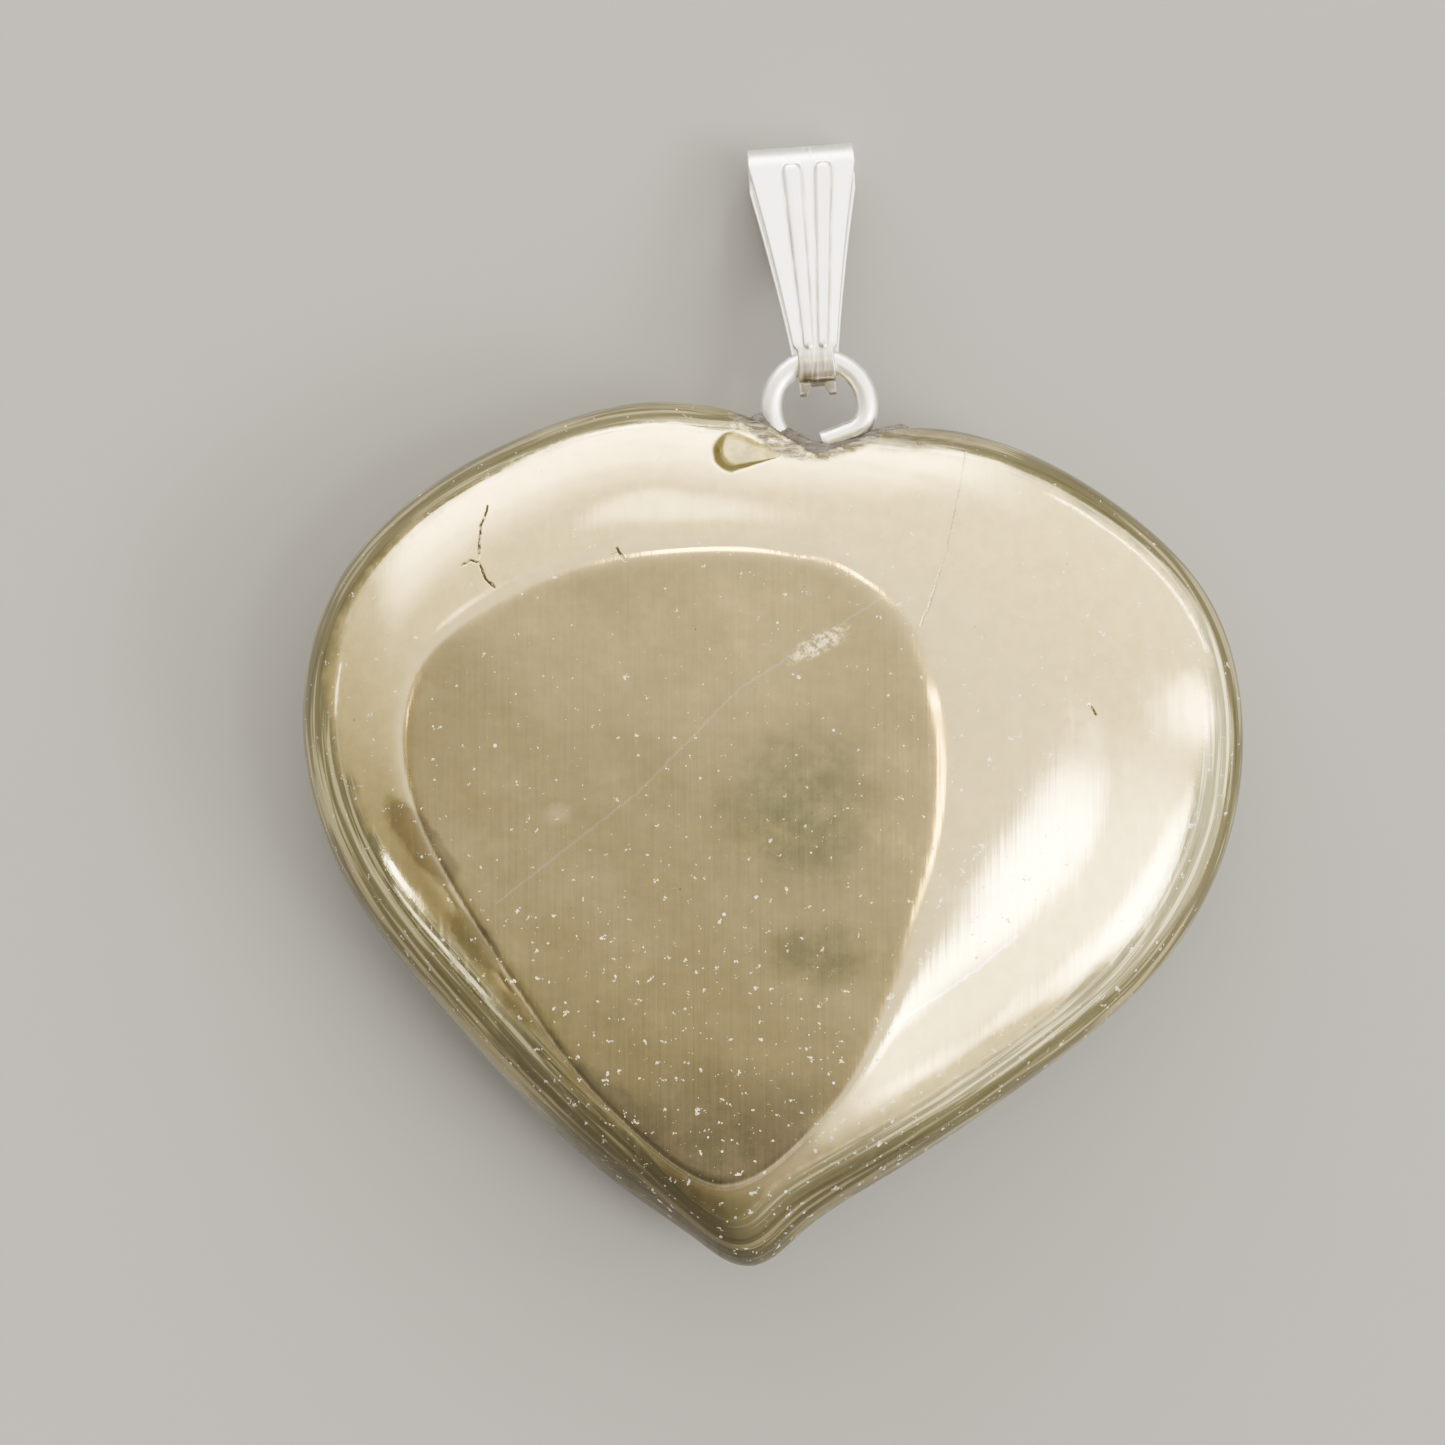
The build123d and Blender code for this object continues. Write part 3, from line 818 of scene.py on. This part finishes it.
class Shader(Nodes):
    """A new node material, with a colour that marks are laid over one after another."""

    def __init__(self, name, color):
        self.material = bpy.data.materials.new(name)
        self.material.use_nodes = True
        super().__init__(self.material.node_tree)
        self.surface = self.tree.nodes["Principled BSDF"]
        self.place = self.add("ShaderNodeTexCoord").outputs["Object"]
        self.color = color

    def set(self, name, value):
        self.put(self.surface.inputs[name], value)

    def lay(self, mask, color, strength=1.0):
        """Lays a colour over the colour so far, where the mask is 1."""
        self.color = self.mix(self.times(mask, strength), self.color, color)

    def finish(self, roughness, relief, strength, distance):
        """Sets the colour, the roughness and the fine relief."""
        self.set("Base Color", self.color)
        self.set("Roughness", roughness)
        bump = self.add("ShaderNodeBump", {
            "Height": relief, "Strength": strength, "Distance": distance,
        })
        self.set("Normal", bump.outputs["Normal"])
        return self.material

    def noise(self, scale, detail=3.0, roughness=0.5, place=None):
        node = self.add("ShaderNodeTexNoise", {
            "Vector": place or self.place, "Scale": scale, "Detail": detail, "Roughness": roughness,
        })
        return node.outputs["Fac"]

    def uneven(self, amount, scale, detail=3.0, roughness=0.5):
        """Noise about 0, up to half the amount either way."""
        return self.times(self.minus(self.noise(scale, detail, roughness), 0.5), amount)

    def streaks(self, turn, scale, detail=3.0, roughness=0.6):
        """Noise stretched one way: turned about Z, and then scaled by three numbers."""
        turned = self.add("ShaderNodeMapping", {
            "Vector": self.place, "Rotation": (0, 0, turn), "Scale": scale,
        })
        return self.noise(1.0, detail, roughness, place=turned.outputs["Vector"])

    def specks(self, scale, threshold, size):
        """1 in small round specks, one in some of the cells of a random pattern."""
        cells = self.add("ShaderNodeTexVoronoi", {"Vector": self.place, "Scale": scale})
        parts = self.add("ShaderNodeSeparateColor", {0: cells.outputs["Color"]})
        chosen = self.math("GREATER_THAN", parts.outputs[0], threshold)
        radius = self.times(self.plus(parts.outputs[1], 0.25), size)
        return self.times(chosen, self.math("LESS_THAN", cells.outputs["Distance"], radius))

    def blob(self, middle, half_size, soft=0.5, turn=0.0, wobble=0.25, wobble_scale=700):
        """1 inside an uneven oval, seen from the front, and 0 outside it."""
        point = Vector((*middle, 0)) + SHIFT
        turned = self.add("ShaderNodeVectorRotate", {
            "Vector": self.vector("SUBTRACT", self.place, tuple(point)),
            "Angle": -turn, "Axis": (0, 0, 1),
        }).outputs["Vector"]
        scaled = self.vector("MULTIPLY", turned, (1 / half_size[0], 1 / half_size[1], 0))
        far = self.length(scaled)
        far = self.plus(far, self.uneven(wobble * 2, wobble_scale))
        return self.fall(far, 1 - soft, 1 + soft)

    def from_run(self, place, start, end):
        """Which part of the way along a straight run a place is, and how far off the run."""
        a = Vector((*start, 0)) + SHIFT
        run = Vector((end[0] - start[0], end[1] - start[1], 0))
        offset = self.vector("SUBTRACT", place, (a.x, a.y, 0))
        along = self.dot(offset, tuple(run / run.length_squared))
        along = self.math("MINIMUM", self.math("MAXIMUM", along, 0.0), 1.0)
        scaled = self.add("ShaderNodeVectorMath", operation="SCALE")
        self.put(scaled.inputs[0], tuple(run))
        self.put(scaled.inputs["Scale"], along)
        off = self.vector("SUBTRACT", offset, scaled.outputs["Vector"])
        return along, self.length(off)

    def drop(self, start, start_radius, end, end_radius, soft):
        """1 inside a drop shape that narrows from its start to its end, and 0 outside it."""
        flat = self.vector("MULTIPLY", self.place, (1, 1, 0))
        along, off = self.from_run(flat, start, end)
        radius = self.plus(start_radius, self.times(along, end_radius - start_radius))
        far = self.plus(self.math("DIVIDE", off, radius), self.uneven(0.2, 1500))
        return self.fall(far, 1 - soft, 1 + soft)

    def crack(self, points, width, wobble=0.00008):
        """1 on a thin uneven line through the points, seen from the front, and 0 off it."""
        jitter = self.add("ShaderNodeTexNoise", {
            "Vector": self.place, "Scale": 2600.0, "Detail": 3.0,
        }).outputs["Color"]
        jitter = self.vector("SUBTRACT", jitter, (0.5, 0.5, 0.5))
        jitter = self.vector("MULTIPLY", jitter, (wobble * 2, wobble * 2, 0))
        place = self.vector("MULTIPLY", self.vector("ADD", self.place, jitter), (1, 1, 0))
        offs = [self.from_run(place, start, end)[1] for start, end in zip(points, points[1:])]
        return self.fall(self.join("MINIMUM", offs), width * 0.45, width)


# marks on the stone, in the outline's own numbers; ovals have their middle and half-size
BLACK_CRACKS = [
    [(-0.01225, 0.00835), (-0.01255, 0.0074), (-0.01262, 0.0061)],
    [(-0.01335, 0.0058), (-0.01295, 0.006), (-0.01262, 0.0059), (-0.0123, 0.0052),
     (-0.0119, 0.00485)],
    [(-0.0067, 0.00655), (-0.0063, 0.006)],
    [(0.01365, -0.0002), (0.01395, -0.0006)],
]
FAINT_CRACKS = [
    [(0.0084, 0.0107), (0.0082, 0.0095), (0.0078, 0.0078), (0.0075, 0.0064), (0.0068, 0.0042),
     (0.0064, 0.0032)],
    [(-0.007, 0.0062), (-0.0066, 0.0064)],
]
LONG_SCRATCH = [(0.0047, 0.0044), (-0.0014, 0.0005), (-0.0057, -0.0039), (-0.0118, -0.0087)]
SHORT_SCRATCH = [(0.0052, -0.0140), (0.0088, -0.0116), (0.0106, -0.0101)]
NOTCH_SCUFF = [
    (-0.0016, 0.0126), (-0.0010, 0.0122), (-0.0002, 0.0114), (0.0005, 0.0109), (0.0013, 0.01072),
    (0.0023, 0.01072), (0.0032, 0.0110), (0.0044, 0.0115),
]
NOTCH_SCUFF_WIDTH = 0.00052
SIDE_SCUFF = ((0.0066, 0.0114), (0.0024, 0.0006))
GREENISH_PATCHES = [((0.0013, -0.0046), (0.0031, 0.0032)), ((0.0021, -0.0109), (0.0020, 0.0012))]
TIP_STAIN = ((-0.0016, -0.0225), (0.0096, 0.0062))
BROWN_STAINS = [
    ((-0.0150, -0.0062), (0.0022, 0.0008)), ((-0.0128, -0.0103), (0.0016, 0.0007)),
    ((-0.0100, -0.0152), (0.0032, 0.0010)), ((-0.0062, -0.0190), (0.0040, 0.0016)),
]
BROWN_STAIN_TURN = math.radians(-52)
SMUDGE, SMUDGE_TURN = ((0.0020, 0.0024), (0.0012, 0.00035)), math.radians(28)
PALE_SPOT = ((-0.0092, -0.0049), (0.0005, 0.0004))
CREAM_OFFSET, CREAM_SIZE = (0.00028, 0.0002), 0.78     # of the cream in the chip
DUST_FADES = (-0.022, 0.006)                           # up the heart, from much dust to little

# colours; where there are two, a random pattern goes from the first to the second
BRASS = ((0.625, 0.495, 0.235), (0.575, 0.46, 0.22))
DARK_GRAIN = (0.38, 0.305, 0.155)
GREENISH = (0.15, 0.165, 0.11)
LOW_BROWN = (0.31, 0.245, 0.13)
SHOULDER_GOLD = ((0.64, 0.50, 0.19), (0.55, 0.43, 0.165))
# painted reflection on the rim: olive for the dark surroundings it reflects, gold for glints, dark
# for reflected lines
RIM_REFLECTION_OLIVE, RIM_GLINT_GOLD, RIM_REFLECTION_DARK = (0.19, 0.185, 0.11), (0.78, 0.69, 0.38), (0.07, 0.063, 0.035)
TABLE_TARNISH = ((0.34, 0.27, 0.165), (0.25, 0.225, 0.135))
SHOULDER_TARNISH = ((0.068, 0.052, 0.032), (0.050, 0.048, 0.028))
# painted shade on surfaces that face the lower left
LOWER_LEFT_PAINTED_SHADE = (0.075, 0.06, 0.035)
FAINT_CRACK, BLACK_CRACK, SCRATCH = (0.25, 0.21, 0.14), (0.035, 0.03, 0.02), (0.85, 0.8, 0.68)
GRIT, DUST = (0.16, 0.12, 0.07), (0.66, 0.63, 0.55)
# painted shade in the flake scar, left showing on its left wall
SCAR_WALL_SHADE = (0.055, 0.047, 0.015)
SCAR_CREAM = ((0.50, 0.39, 0.11), (0.28, 0.225, 0.065))
SCUFFED = ((0.034, 0.030, 0.021), (0.17, 0.15, 0.12))
SILVER = ((1.0, 0.985, 0.95), (0.94, 0.915, 0.86))
SILVER_TARNISH, SILVER_SPOT = (0.22, 0.155, 0.065), (0.62, 0.55, 0.42)
GLUE = ((0.030, 0.025, 0.022), (0.085, 0.075, 0.066))
GLUE_PORE, GLUE_STREAK = (0.025, 0.02, 0.018), (0.20, 0.19, 0.172)
TABLETOP = ((0.185, 0.182, 0.176), (0.168, 0.165, 0.16))


# the stone's shader keeps where each kind of mark is, for what comes after it
def pyrite_shader():
    """The shader before any mark, with the heights and slopes that the marks depend on."""
    s = Shader("polished_pyrite", BRASS[0])
    s.y = s.part(s.place, "Y")
    s.front = s.ramp(s.part(s.place, "Z"), GIRDLE_HEIGHT, GIRDLE_HEIGHT + 0.001)
    s.normal = s.add("ShaderNodeNewGeometry").outputs["Normal"]
    level = s.math("ABSOLUTE", s.part(s.normal, "Z"))
    s.sloped = s.fall(level, 0.960, 0.992)
    s.bent = s.fall(level, 0.986, 0.9985)
    s.fine = s.ramp(s.noise(1500, 3, 0.6), 0.3, 0.7)
    s.mottle = s.ramp(s.noise(650, 4, 0.7), 0.42, 0.6)
    return s


def lay_brass(s):
    """Clouds, dark grain, greenish patches, a browner tip and a golden shoulder."""
    s.lay(s.ramp(s.noise(130, 4, 0.55), 0.35, 0.7), BRASS[1])
    s.lay(s.fine, DARK_GRAIN, 0.26)
    patches = s.most(*[s.blob(*patch, 0.6, wobble=0.4) for patch in GREENISH_PATCHES])
    broken = s.ramp(s.noise(800, 4, 0.65), 0.25, 0.6, 0.45, 1.0)
    s.patches = s.times(patches, broken, s.front)
    s.lay(s.patches, GREENISH, 0.72)
    s.lay(s.fall(s.y, -0.025, -0.010), LOW_BROWN, 0.5)
    s.lay(s.sloped, s.mix(s.fine, *SHOULDER_GOLD), 0.7)


def lay_rim_painted_reflection(s):
    """A painted reflection over the rim: dark olive, with painted gold glints and dark reflected
    lines that run round it like the grinding lines.
    """
    from_rim = s.add("ShaderNodeAttribute", attribute_name="from_rim").outputs["Fac"]
    # the painted reflection band is made wider towards the lower part of the stone
    wider_below = s.ramp(s.y, -0.008, 0.003, -0.0013, 0.0)
    band = s.plus(from_rim, s.uneven(0.0016, 520, 4, 0.65), wider_below)
    s.edge = s.fall(band, 0.0008, 0.0015)
    along = s.vector("MULTIPLY", s.place, (110, 110, 0))
    across = s.add("ShaderNodeCombineXYZ", {2: s.times(from_rim, 3800.0)}).outputs[0]
    s.lines = s.noise(1.0, 3, 0.6, place=s.vector("ADD", along, across))
    # painted reflection: olive where the rim would reflect dark surroundings, painted gold glints,
    # and dark reflected lines
    rim = s.mix(s.ramp(s.lines, 0.50, 0.62), RIM_REFLECTION_OLIVE, RIM_GLINT_GOLD)
    dark = s.fall(s.lines, 0.32, 0.45)
    rim = s.mix(s.times(dark, 0.8), rim, RIM_REFLECTION_DARK)
    s.lay(s.edge, rim, 0.85)


def lay_tarnish_and_shade(s):
    """Dull brown and olive over the tip, and in patches up the lower left shoulder; then painted
    shade over whatever faces the lower left.
    """
    tip = s.blob(*TIP_STAIN, 0.4, wobble=0.3, wobble_scale=350)
    stains = s.most(*[
        s.blob(*stain, 0.18, BROWN_STAIN_TURN, 0.45, 900) for stain in BROWN_STAINS
    ])
    off_edge = s.minus(1.0, s.times(s.edge, 0.3))
    stained = s.most(s.times(tip, 0.9), s.times(stains, 0.75))
    s.tarnished = s.times(stained, off_edge)
    on_table = s.mix(s.mottle, *TABLE_TARNISH)
    on_shoulder = s.mix(s.mottle, *SHOULDER_TARNISH)
    s.lay(s.tarnished, s.mix(s.bent, on_table, on_shoulder))
    # painted shade: darker wherever the surface faces the lower left
    facing_shaded_side = s.dot(s.normal, (-0.50, -0.86, 0.0))
    s.lay(s.ramp(facing_shaded_side, 0.52, 0.86), LOWER_LEFT_PAINTED_SHADE, 0.55)


def lay_cracks(s):
    """Black and faint cracks, and two light scratches, all on the front only."""
    black = s.most(*[s.crack(points, 0.00009) for points in BLACK_CRACKS])
    broken = s.ramp(s.noise(3200), 0.3, 0.55, 0.25, 1.0)
    s.black = s.times(black, s.front, broken)
    faint = s.most(*[s.crack(points, 0.00006, 0.00012) for points in FAINT_CRACKS])
    broken = s.ramp(s.noise(1200), 0.35, 0.6, 0.2, 0.7)
    s.faint = s.times(faint, s.front, broken)
    long = s.times(s.crack(LONG_SCRATCH, 0.00007, 0.0001), 0.22)
    short = s.times(s.crack(SHORT_SCRATCH, 0.00008, 0.0001), 0.6)
    s.lay(s.faint, FAINT_CRACK)
    s.lay(s.black, BLACK_CRACK)
    s.lay(s.times(s.most(long, short), s.front), SCRATCH)


def lay_dust(s):
    """Settled dust, more of it towards the tip, dark grit, a smudge and a pale spot."""
    lower = s.fall(s.y, *DUST_FADES)
    flecks = s.plus(s.noise(2300, 3, 0.75), s.times(lower, 0.035))
    specks = s.specks(1100.0, s.ramp(s.y, *DUST_FADES, 0.45, 0.84), 0.07)
    dust = s.most(s.times(specks, 0.9), s.ramp(flecks, 0.665, 0.715, 0.0, 0.75))
    grit = s.times(s.specks(1500.0, 0.94, 0.07), s.front)
    s.lay(grit, GRIT, 0.7)
    broken = s.ramp(s.noise(3500, 3, 0.7), 0.42, 0.62)
    smudge = s.times(s.blob(*SMUDGE, 0.6, SMUDGE_TURN, 0.5, 1500), broken, 0.55)
    pale = s.times(s.blob(*PALE_SPOT, 0.7), 0.09)
    s.dull = s.times(s.most(dust, smudge, pale), s.front)
    s.lay(s.dull, DUST, 0.85)


def lay_scar(s):
    """The flake scar: creamy inside, with painted shade, a dark olive crescent, on its left wall.
    """
    scar = s.drop(CHIP_START, CHIP_START_RADIUS, CHIP_END, CHIP_END_RADIUS, 0.08)
    cream_start = (CHIP_START[0] + CREAM_OFFSET[0], CHIP_START[1] + CREAM_OFFSET[1])
    cream_radius = CHIP_START_RADIUS * CREAM_SIZE
    cream = s.drop(cream_start, cream_radius, CHIP_END, CHIP_END_RADIUS, 0.12)
    s.scarred = s.times(scar, s.front)
    # painted shade: dark olive over the whole scar, left as a crescent on its left wall where the
    # cream doesn't cover it
    s.lay(s.scarred, SCAR_WALL_SHADE, 0.95)
    s.cream = s.times(cream, s.scarred)
    s.lay(s.cream, s.mix(s.mottle, *SCAR_CREAM))


def lay_scuff(s):
    """Scuffed stone along the notch, with marks that run along it."""
    side = s.times(s.blob(*SIDE_SCUFF, 0.6), 0.6)
    scuff = s.most(s.crack(NOTCH_SCUFF, NOTCH_SCUFF_WIDTH, 0.00018), side)
    broken = s.ramp(s.noise(1900, 4, 0.7), 0.26, 0.50, 0.3, 1.0)
    s.scuffed = s.times(scuff, broken)
    marks = s.ramp(s.streaks(0.5, (1100, 7000, 2000), 3, 0.7), 0.42, 0.62)
    s.lay(s.scuffed, s.mix(marks, *SCUFFED), 0.95)


def pyrite_roughness(s):
    """A bright polish, duller in cloudy places and wherever the surface is marked."""
    rubbed = s.ramp(s.streaks(-0.8, (2600, 260, 400)), 0.5, 0.72)
    rough = s.plus(
        0.075,
        s.times(s.ramp(s.noise(420, 4, 0.6), 0.45, 0.8), 0.07),
        s.times(s.patches, 0.02),
        s.times(rubbed, s.sloped, 0.09),
        s.times(s.tarnished, s.bent, 0.42),
        s.times(s.most(s.scuffed, s.scarred), 0.4),
    )
    marked = s.times(s.most(s.dull, s.black), 0.5)
    return s.math("ADD", rough, marked, clamp=True)


def pyrite_relief(s):
    """Fine polishing lines and waves, grinding lines, sunken cracks and rough scuffs."""
    raised = s.plus(
        s.times(s.streaks(0.6, (4500, 160, 400), 2, 0.5), 0.6),
        s.times(s.noise(700, 2), 0.6),
        s.times(s.lines, s.edge, 1.5),
        s.times(s.scuffed, s.noise(5000, 3, 0.7)),
    )
    return s.minus(raised, s.times(s.most(s.black, s.faint), 6.0))


def pyrite():
    """Polished iron pyrite: pale brass with clouds, cracks, tarnish, dust and scuffs, a painted
    reflection on the rim, and painted shade to the lower left and in the chip.
    """
    s = pyrite_shader()
    for lay in (lay_brass, lay_rim_painted_reflection, lay_tarnish_and_shade, lay_cracks, lay_dust, lay_scar, lay_scuff):
        lay(s)
    stony = s.most(s.times(s.dull, 0.8), s.cream)
    s.set("Metallic", s.math("SUBTRACT", 1.0, stony, clamp=True))
    return s.finish(pyrite_roughness(s), pyrite_relief(s), 0.35, 0.00001)


def silver(name, scratch_turn, tarnish=0.0):
    """Worn bright silver: fine scratches, soft dents, and warm tarnish in any grooves."""
    s = Shader(name, SILVER[0])
    s.lay(s.ramp(s.noise(700, 3, 0.6), 0.3, 0.75), SILVER[1])
    if tarnish:
        groove = s.add("ShaderNodeAttribute", attribute_name="groove").outputs["Fac"]
        streaks = s.ramp(s.streaks(0.07, (5200, 500, 500)), 0.35, 0.6, 0.35, 1.0)
        s.lay(s.times(groove, streaks, tarnish), SILVER_TARNISH)
    spots = s.ramp(s.noise(2600, 3, 0.7), 0.68, 0.78)
    s.lay(spots, SILVER_SPOT, 0.35)
    s.set("Metallic", 1.0)
    lines = s.streaks(scratch_turn, (9000, 350, 900))
    rough = s.plus(0.30, s.times(s.ramp(lines, 0.45, 0.75), 0.16), s.times(spots, 0.15))
    relief = s.plus(s.times(lines, 0.5), s.noise(1500, 2))
    return s.finish(rough, relief, 0.3, 0.00001)


def set_adhesive():
    """Scratched grey-pink glue with pale lumps and dark pores."""
    s = Shader("set_adhesive", GLUE[0])
    mottle = s.ramp(s.noise(2400, 4, 0.65), 0.32, 0.68)
    s.lay(mottle, GLUE[1])
    pores = s.add("ShaderNodeTexVoronoi", {"Vector": s.place, "Scale": 4200.0}).outputs["Distance"]
    pore = s.fall(pores, 0.12, 0.25)
    s.lay(pore, GLUE_PORE, 0.7)
    streak = s.ramp(s.streaks(0.3, (900, 9000, 900)), 0.55, 0.75)
    s.lay(streak, GLUE_STREAK, 0.5)
    s.set("Specular IOR Level", 0.15)
    relief = s.minus(s.plus(mottle, s.times(streak, 0.5)), pore)
    return s.finish(s.ramp(mottle, 0, 1, 0.38, 0.7), relief, 0.6, 0.00003)


# ---- stage ----
TABLETOP_SIZE = 1.2
TABLETOP_GAP = 0.00002      # keeps the tabletop clear of the stone's flat back


def make_floor():
    """A plain pale tabletop."""
    s = Shader("pale_tabletop", TABLETOP[0])
    s.lay(s.noise(260, 3, 0.6), TABLETOP[1], 0.25)
    s.set("Base Color", s.color)
    s.set("Roughness", 0.7)
    half = TABLETOP_SIZE / 2
    corners = [(-half, -half), (half, -half), (half, half), (-half, half)]
    verts = [(x, y, -TABLETOP_GAP) for x, y in corners]
    floor = new_object("tabletop", verts, [(0, 1, 2, 3)])
    floor.data.materials.append(s.material)


def way_to(turn, tilt):
    """The direction at an angle from +X about Z, and at an angle from straight up."""
    turn, tilt = math.radians(turn), math.radians(tilt)
    level = math.sin(tilt)
    return Vector((level * math.cos(turn), level * math.sin(turn), math.cos(tilt)))


LAMP_DISTANCE = 0.7
# small crisp lamps, the bulbs warm: turn and tilt, size round the vertical and up it, brightness
LAMPS = {
    "low_strip": (36, 73, 0.50, 0.022, 17.0),
    "far_bulb": (92, 11, 0.05, 0.040, 42.0),
    "near_bulb": (60, 10, 0.02, 0.034, 42.0),
    "right_bulb": (8, 9, 0.011, 0.050, 60.0),
    "long_right_bulb": (-8, 9, 0.024, 0.034, 32.0),
    "lower_right_bulb": (-20, 9, 0.010, 0.026, 60.0),
    "left_bulb": (178, 9, 0.012, 0.012, 20.0),
    "left_strip": (172, 86, 0.14, 0.03, 6.0),
    "left_spot": (-152, 74, 0.07, 0.06, 22.0),
    "lower_left_strip": (-143, 82, 0.16, 0.035, 7.0),
}
WARM_LIGHT, PLAIN_LIGHT = (1.0, 0.80, 0.22), (1.0, 0.98, 0.95)
# soft glows in the room: turn and tilt, half-size round the vertical and up it, brightness;
# the last two are dim places, on the side where the photographer stands
GLOWS = [
    (-18, 28, 0.15, 0.09, 36.0),
    (-24, 53, 0.26, 0.15, 38.0),
    (-23, 43, 0.30, 0.36, 6.5),
    (5, 56, 0.09, 0.28, 16.0),
    (127, 30, 0.09, 0.07, 3.5),
    (96, 42, 0.16, 0.12, 5.0),
    (-140, 41, 0.60, 0.53, -0.4),
    (-112, 20, 0.42, 0.22, -1.4),
]
# the window beyond the bail: turn, half-width, where it starts and where it is full, brightness
WINDOW = (102, 0.68, 0.70, 0.20, 12.0)
# the even light of the room: how it grows along +X and +Y, and how bright it is in the middle
AROUND = ((1.5, 1.5, 0), 2.65)
OVERHEAD = ((3.6, 6.0, 0), 1.03)
OVERHEAD_TILTS = (13, 7)    # degrees from straight up, from where it starts to where it is full
LEAST_LIGHT = 0.3
ROOM_COLOR = (1.0, 0.957, 0.86, 1)


def make_lamp(name, turn, tilt, width, height, brightness):
    """A soft rectangular lamp that faces the pendant; brightness is what a mirror shows."""
    data = bpy.data.lights.new(name, "AREA")
    data.shape = "RECTANGLE"
    data.size, data.size_y = width, height
    data.energy = brightness * math.pi * width * height
    data.color = WARM_LIGHT if "bulb" in name else PLAIN_LIGHT
    lamp = bpy.data.objects.new(name, data)
    bpy.context.scene.collection.objects.link(lamp)
    back = way_to(turn, tilt)
    side = Vector((0, 0, 1)).cross(back).normalized()
    axes = Matrix((side, back.cross(side), back)).transposed().to_4x4()
    lamp.matrix_world = Matrix.Translation(back * LAMP_DISTANCE) @ axes
    lamp.visible_camera = False


def glow(sky, direction, turn, tilt, half_round, half_up, brightness):
    """A soft oval glow in the sky."""
    middle = way_to(turn, tilt)
    side = Vector((0, 0, 1)).cross(middle).normalized()
    up = middle.cross(side)
    across = sky.dot(direction, tuple(side / half_round))
    along = sky.dot(direction, tuple(up / half_up))
    far = sky.math("SQRT", sky.plus(sky.math("POWER", across, 2), sky.math("POWER", along, 2)))
    ahead = sky.math("GREATER_THAN", sky.dot(direction, tuple(middle)))
    return sky.times(sky.ramp(far, 0.35, 1.1, brightness, 0.0), ahead)


def window_glow(sky, direction, height):
    """A wide window that is brightest near the level of the table."""
    turn, half_width, start, full, brightness = WINDOW
    middle = way_to(turn, 90)
    side = Vector((0, 0, 1)).cross(middle)
    across = sky.dot(direction, tuple(side))
    inside = sky.fall(sky.math("ABSOLUTE", across), half_width * 0.6, half_width)
    ahead = sky.math("GREATER_THAN", sky.dot(direction, tuple(middle)))
    return sky.times(sky.ramp(height, full, start, brightness, 0.0), inside, ahead)


def make_room():
    """The room's soft light: bright beyond the bail and to the right, dim to the lower left."""
    world = bpy.data.worlds.new("room")
    world.use_nodes = True
    sky = Nodes(world.node_tree)
    direction = sky.add("ShaderNodeTexCoord").outputs["Generated"]
    height = sky.part(direction, "Z")
    levels = []
    for slope, middle in (AROUND, OVERHEAD):
        levels.append(sky.plus(sky.dot(direction, slope), middle))
    up = sky.ramp(height, *[math.cos(math.radians(tilt)) for tilt in OVERHEAD_TILTS])
    light = sky.plus(sky.times(sky.minus(1.0, up), levels[0]), sky.times(up, levels[1]))
    for numbers in GLOWS:
        light = sky.plus(light, glow(sky, direction, *numbers))
    light = sky.plus(sky.most(light, LEAST_LIGHT), window_glow(sky, direction, height))
    background = sky.tree.nodes["Background"]
    background.inputs["Color"].default_value = ROOM_COLOR
    sky.put(background.inputs["Strength"], light)
    bpy.context.scene.world = world


CAMERA_DISTANCE = 0.35      # from the girdle to the lens
VIEW_WIDTH = 0.0629         # at the girdle's level
CAMERA_OVER = (-0.00219, -0.00092)


def make_camera():
    """Straight above the pendant, with +Y up, as the pendant was photographed."""
    data = bpy.data.cameras.new("camera")
    data.lens = data.sensor_width * CAMERA_DISTANCE / VIEW_WIDTH
    data.clip_start, data.clip_end = 0.01, 10
    camera = bpy.data.objects.new("camera", data)
    camera.location = (*CAMERA_OVER, GIRDLE_HEIGHT + CAMERA_DISTANCE)
    bpy.context.scene.collection.objects.link(camera)
    bpy.context.scene.camera = camera


make_camera()
make_floor()
make_room()
for lamp_name, numbers in LAMPS.items():
    make_lamp(lamp_name, *numbers)
make_stone(pyrite())
make_pin(silver("silver_wire", 0.2))
make_adhesive(set_adhesive())
make_bail(silver("silver_sheet", math.radians(94), tarnish=0.85))
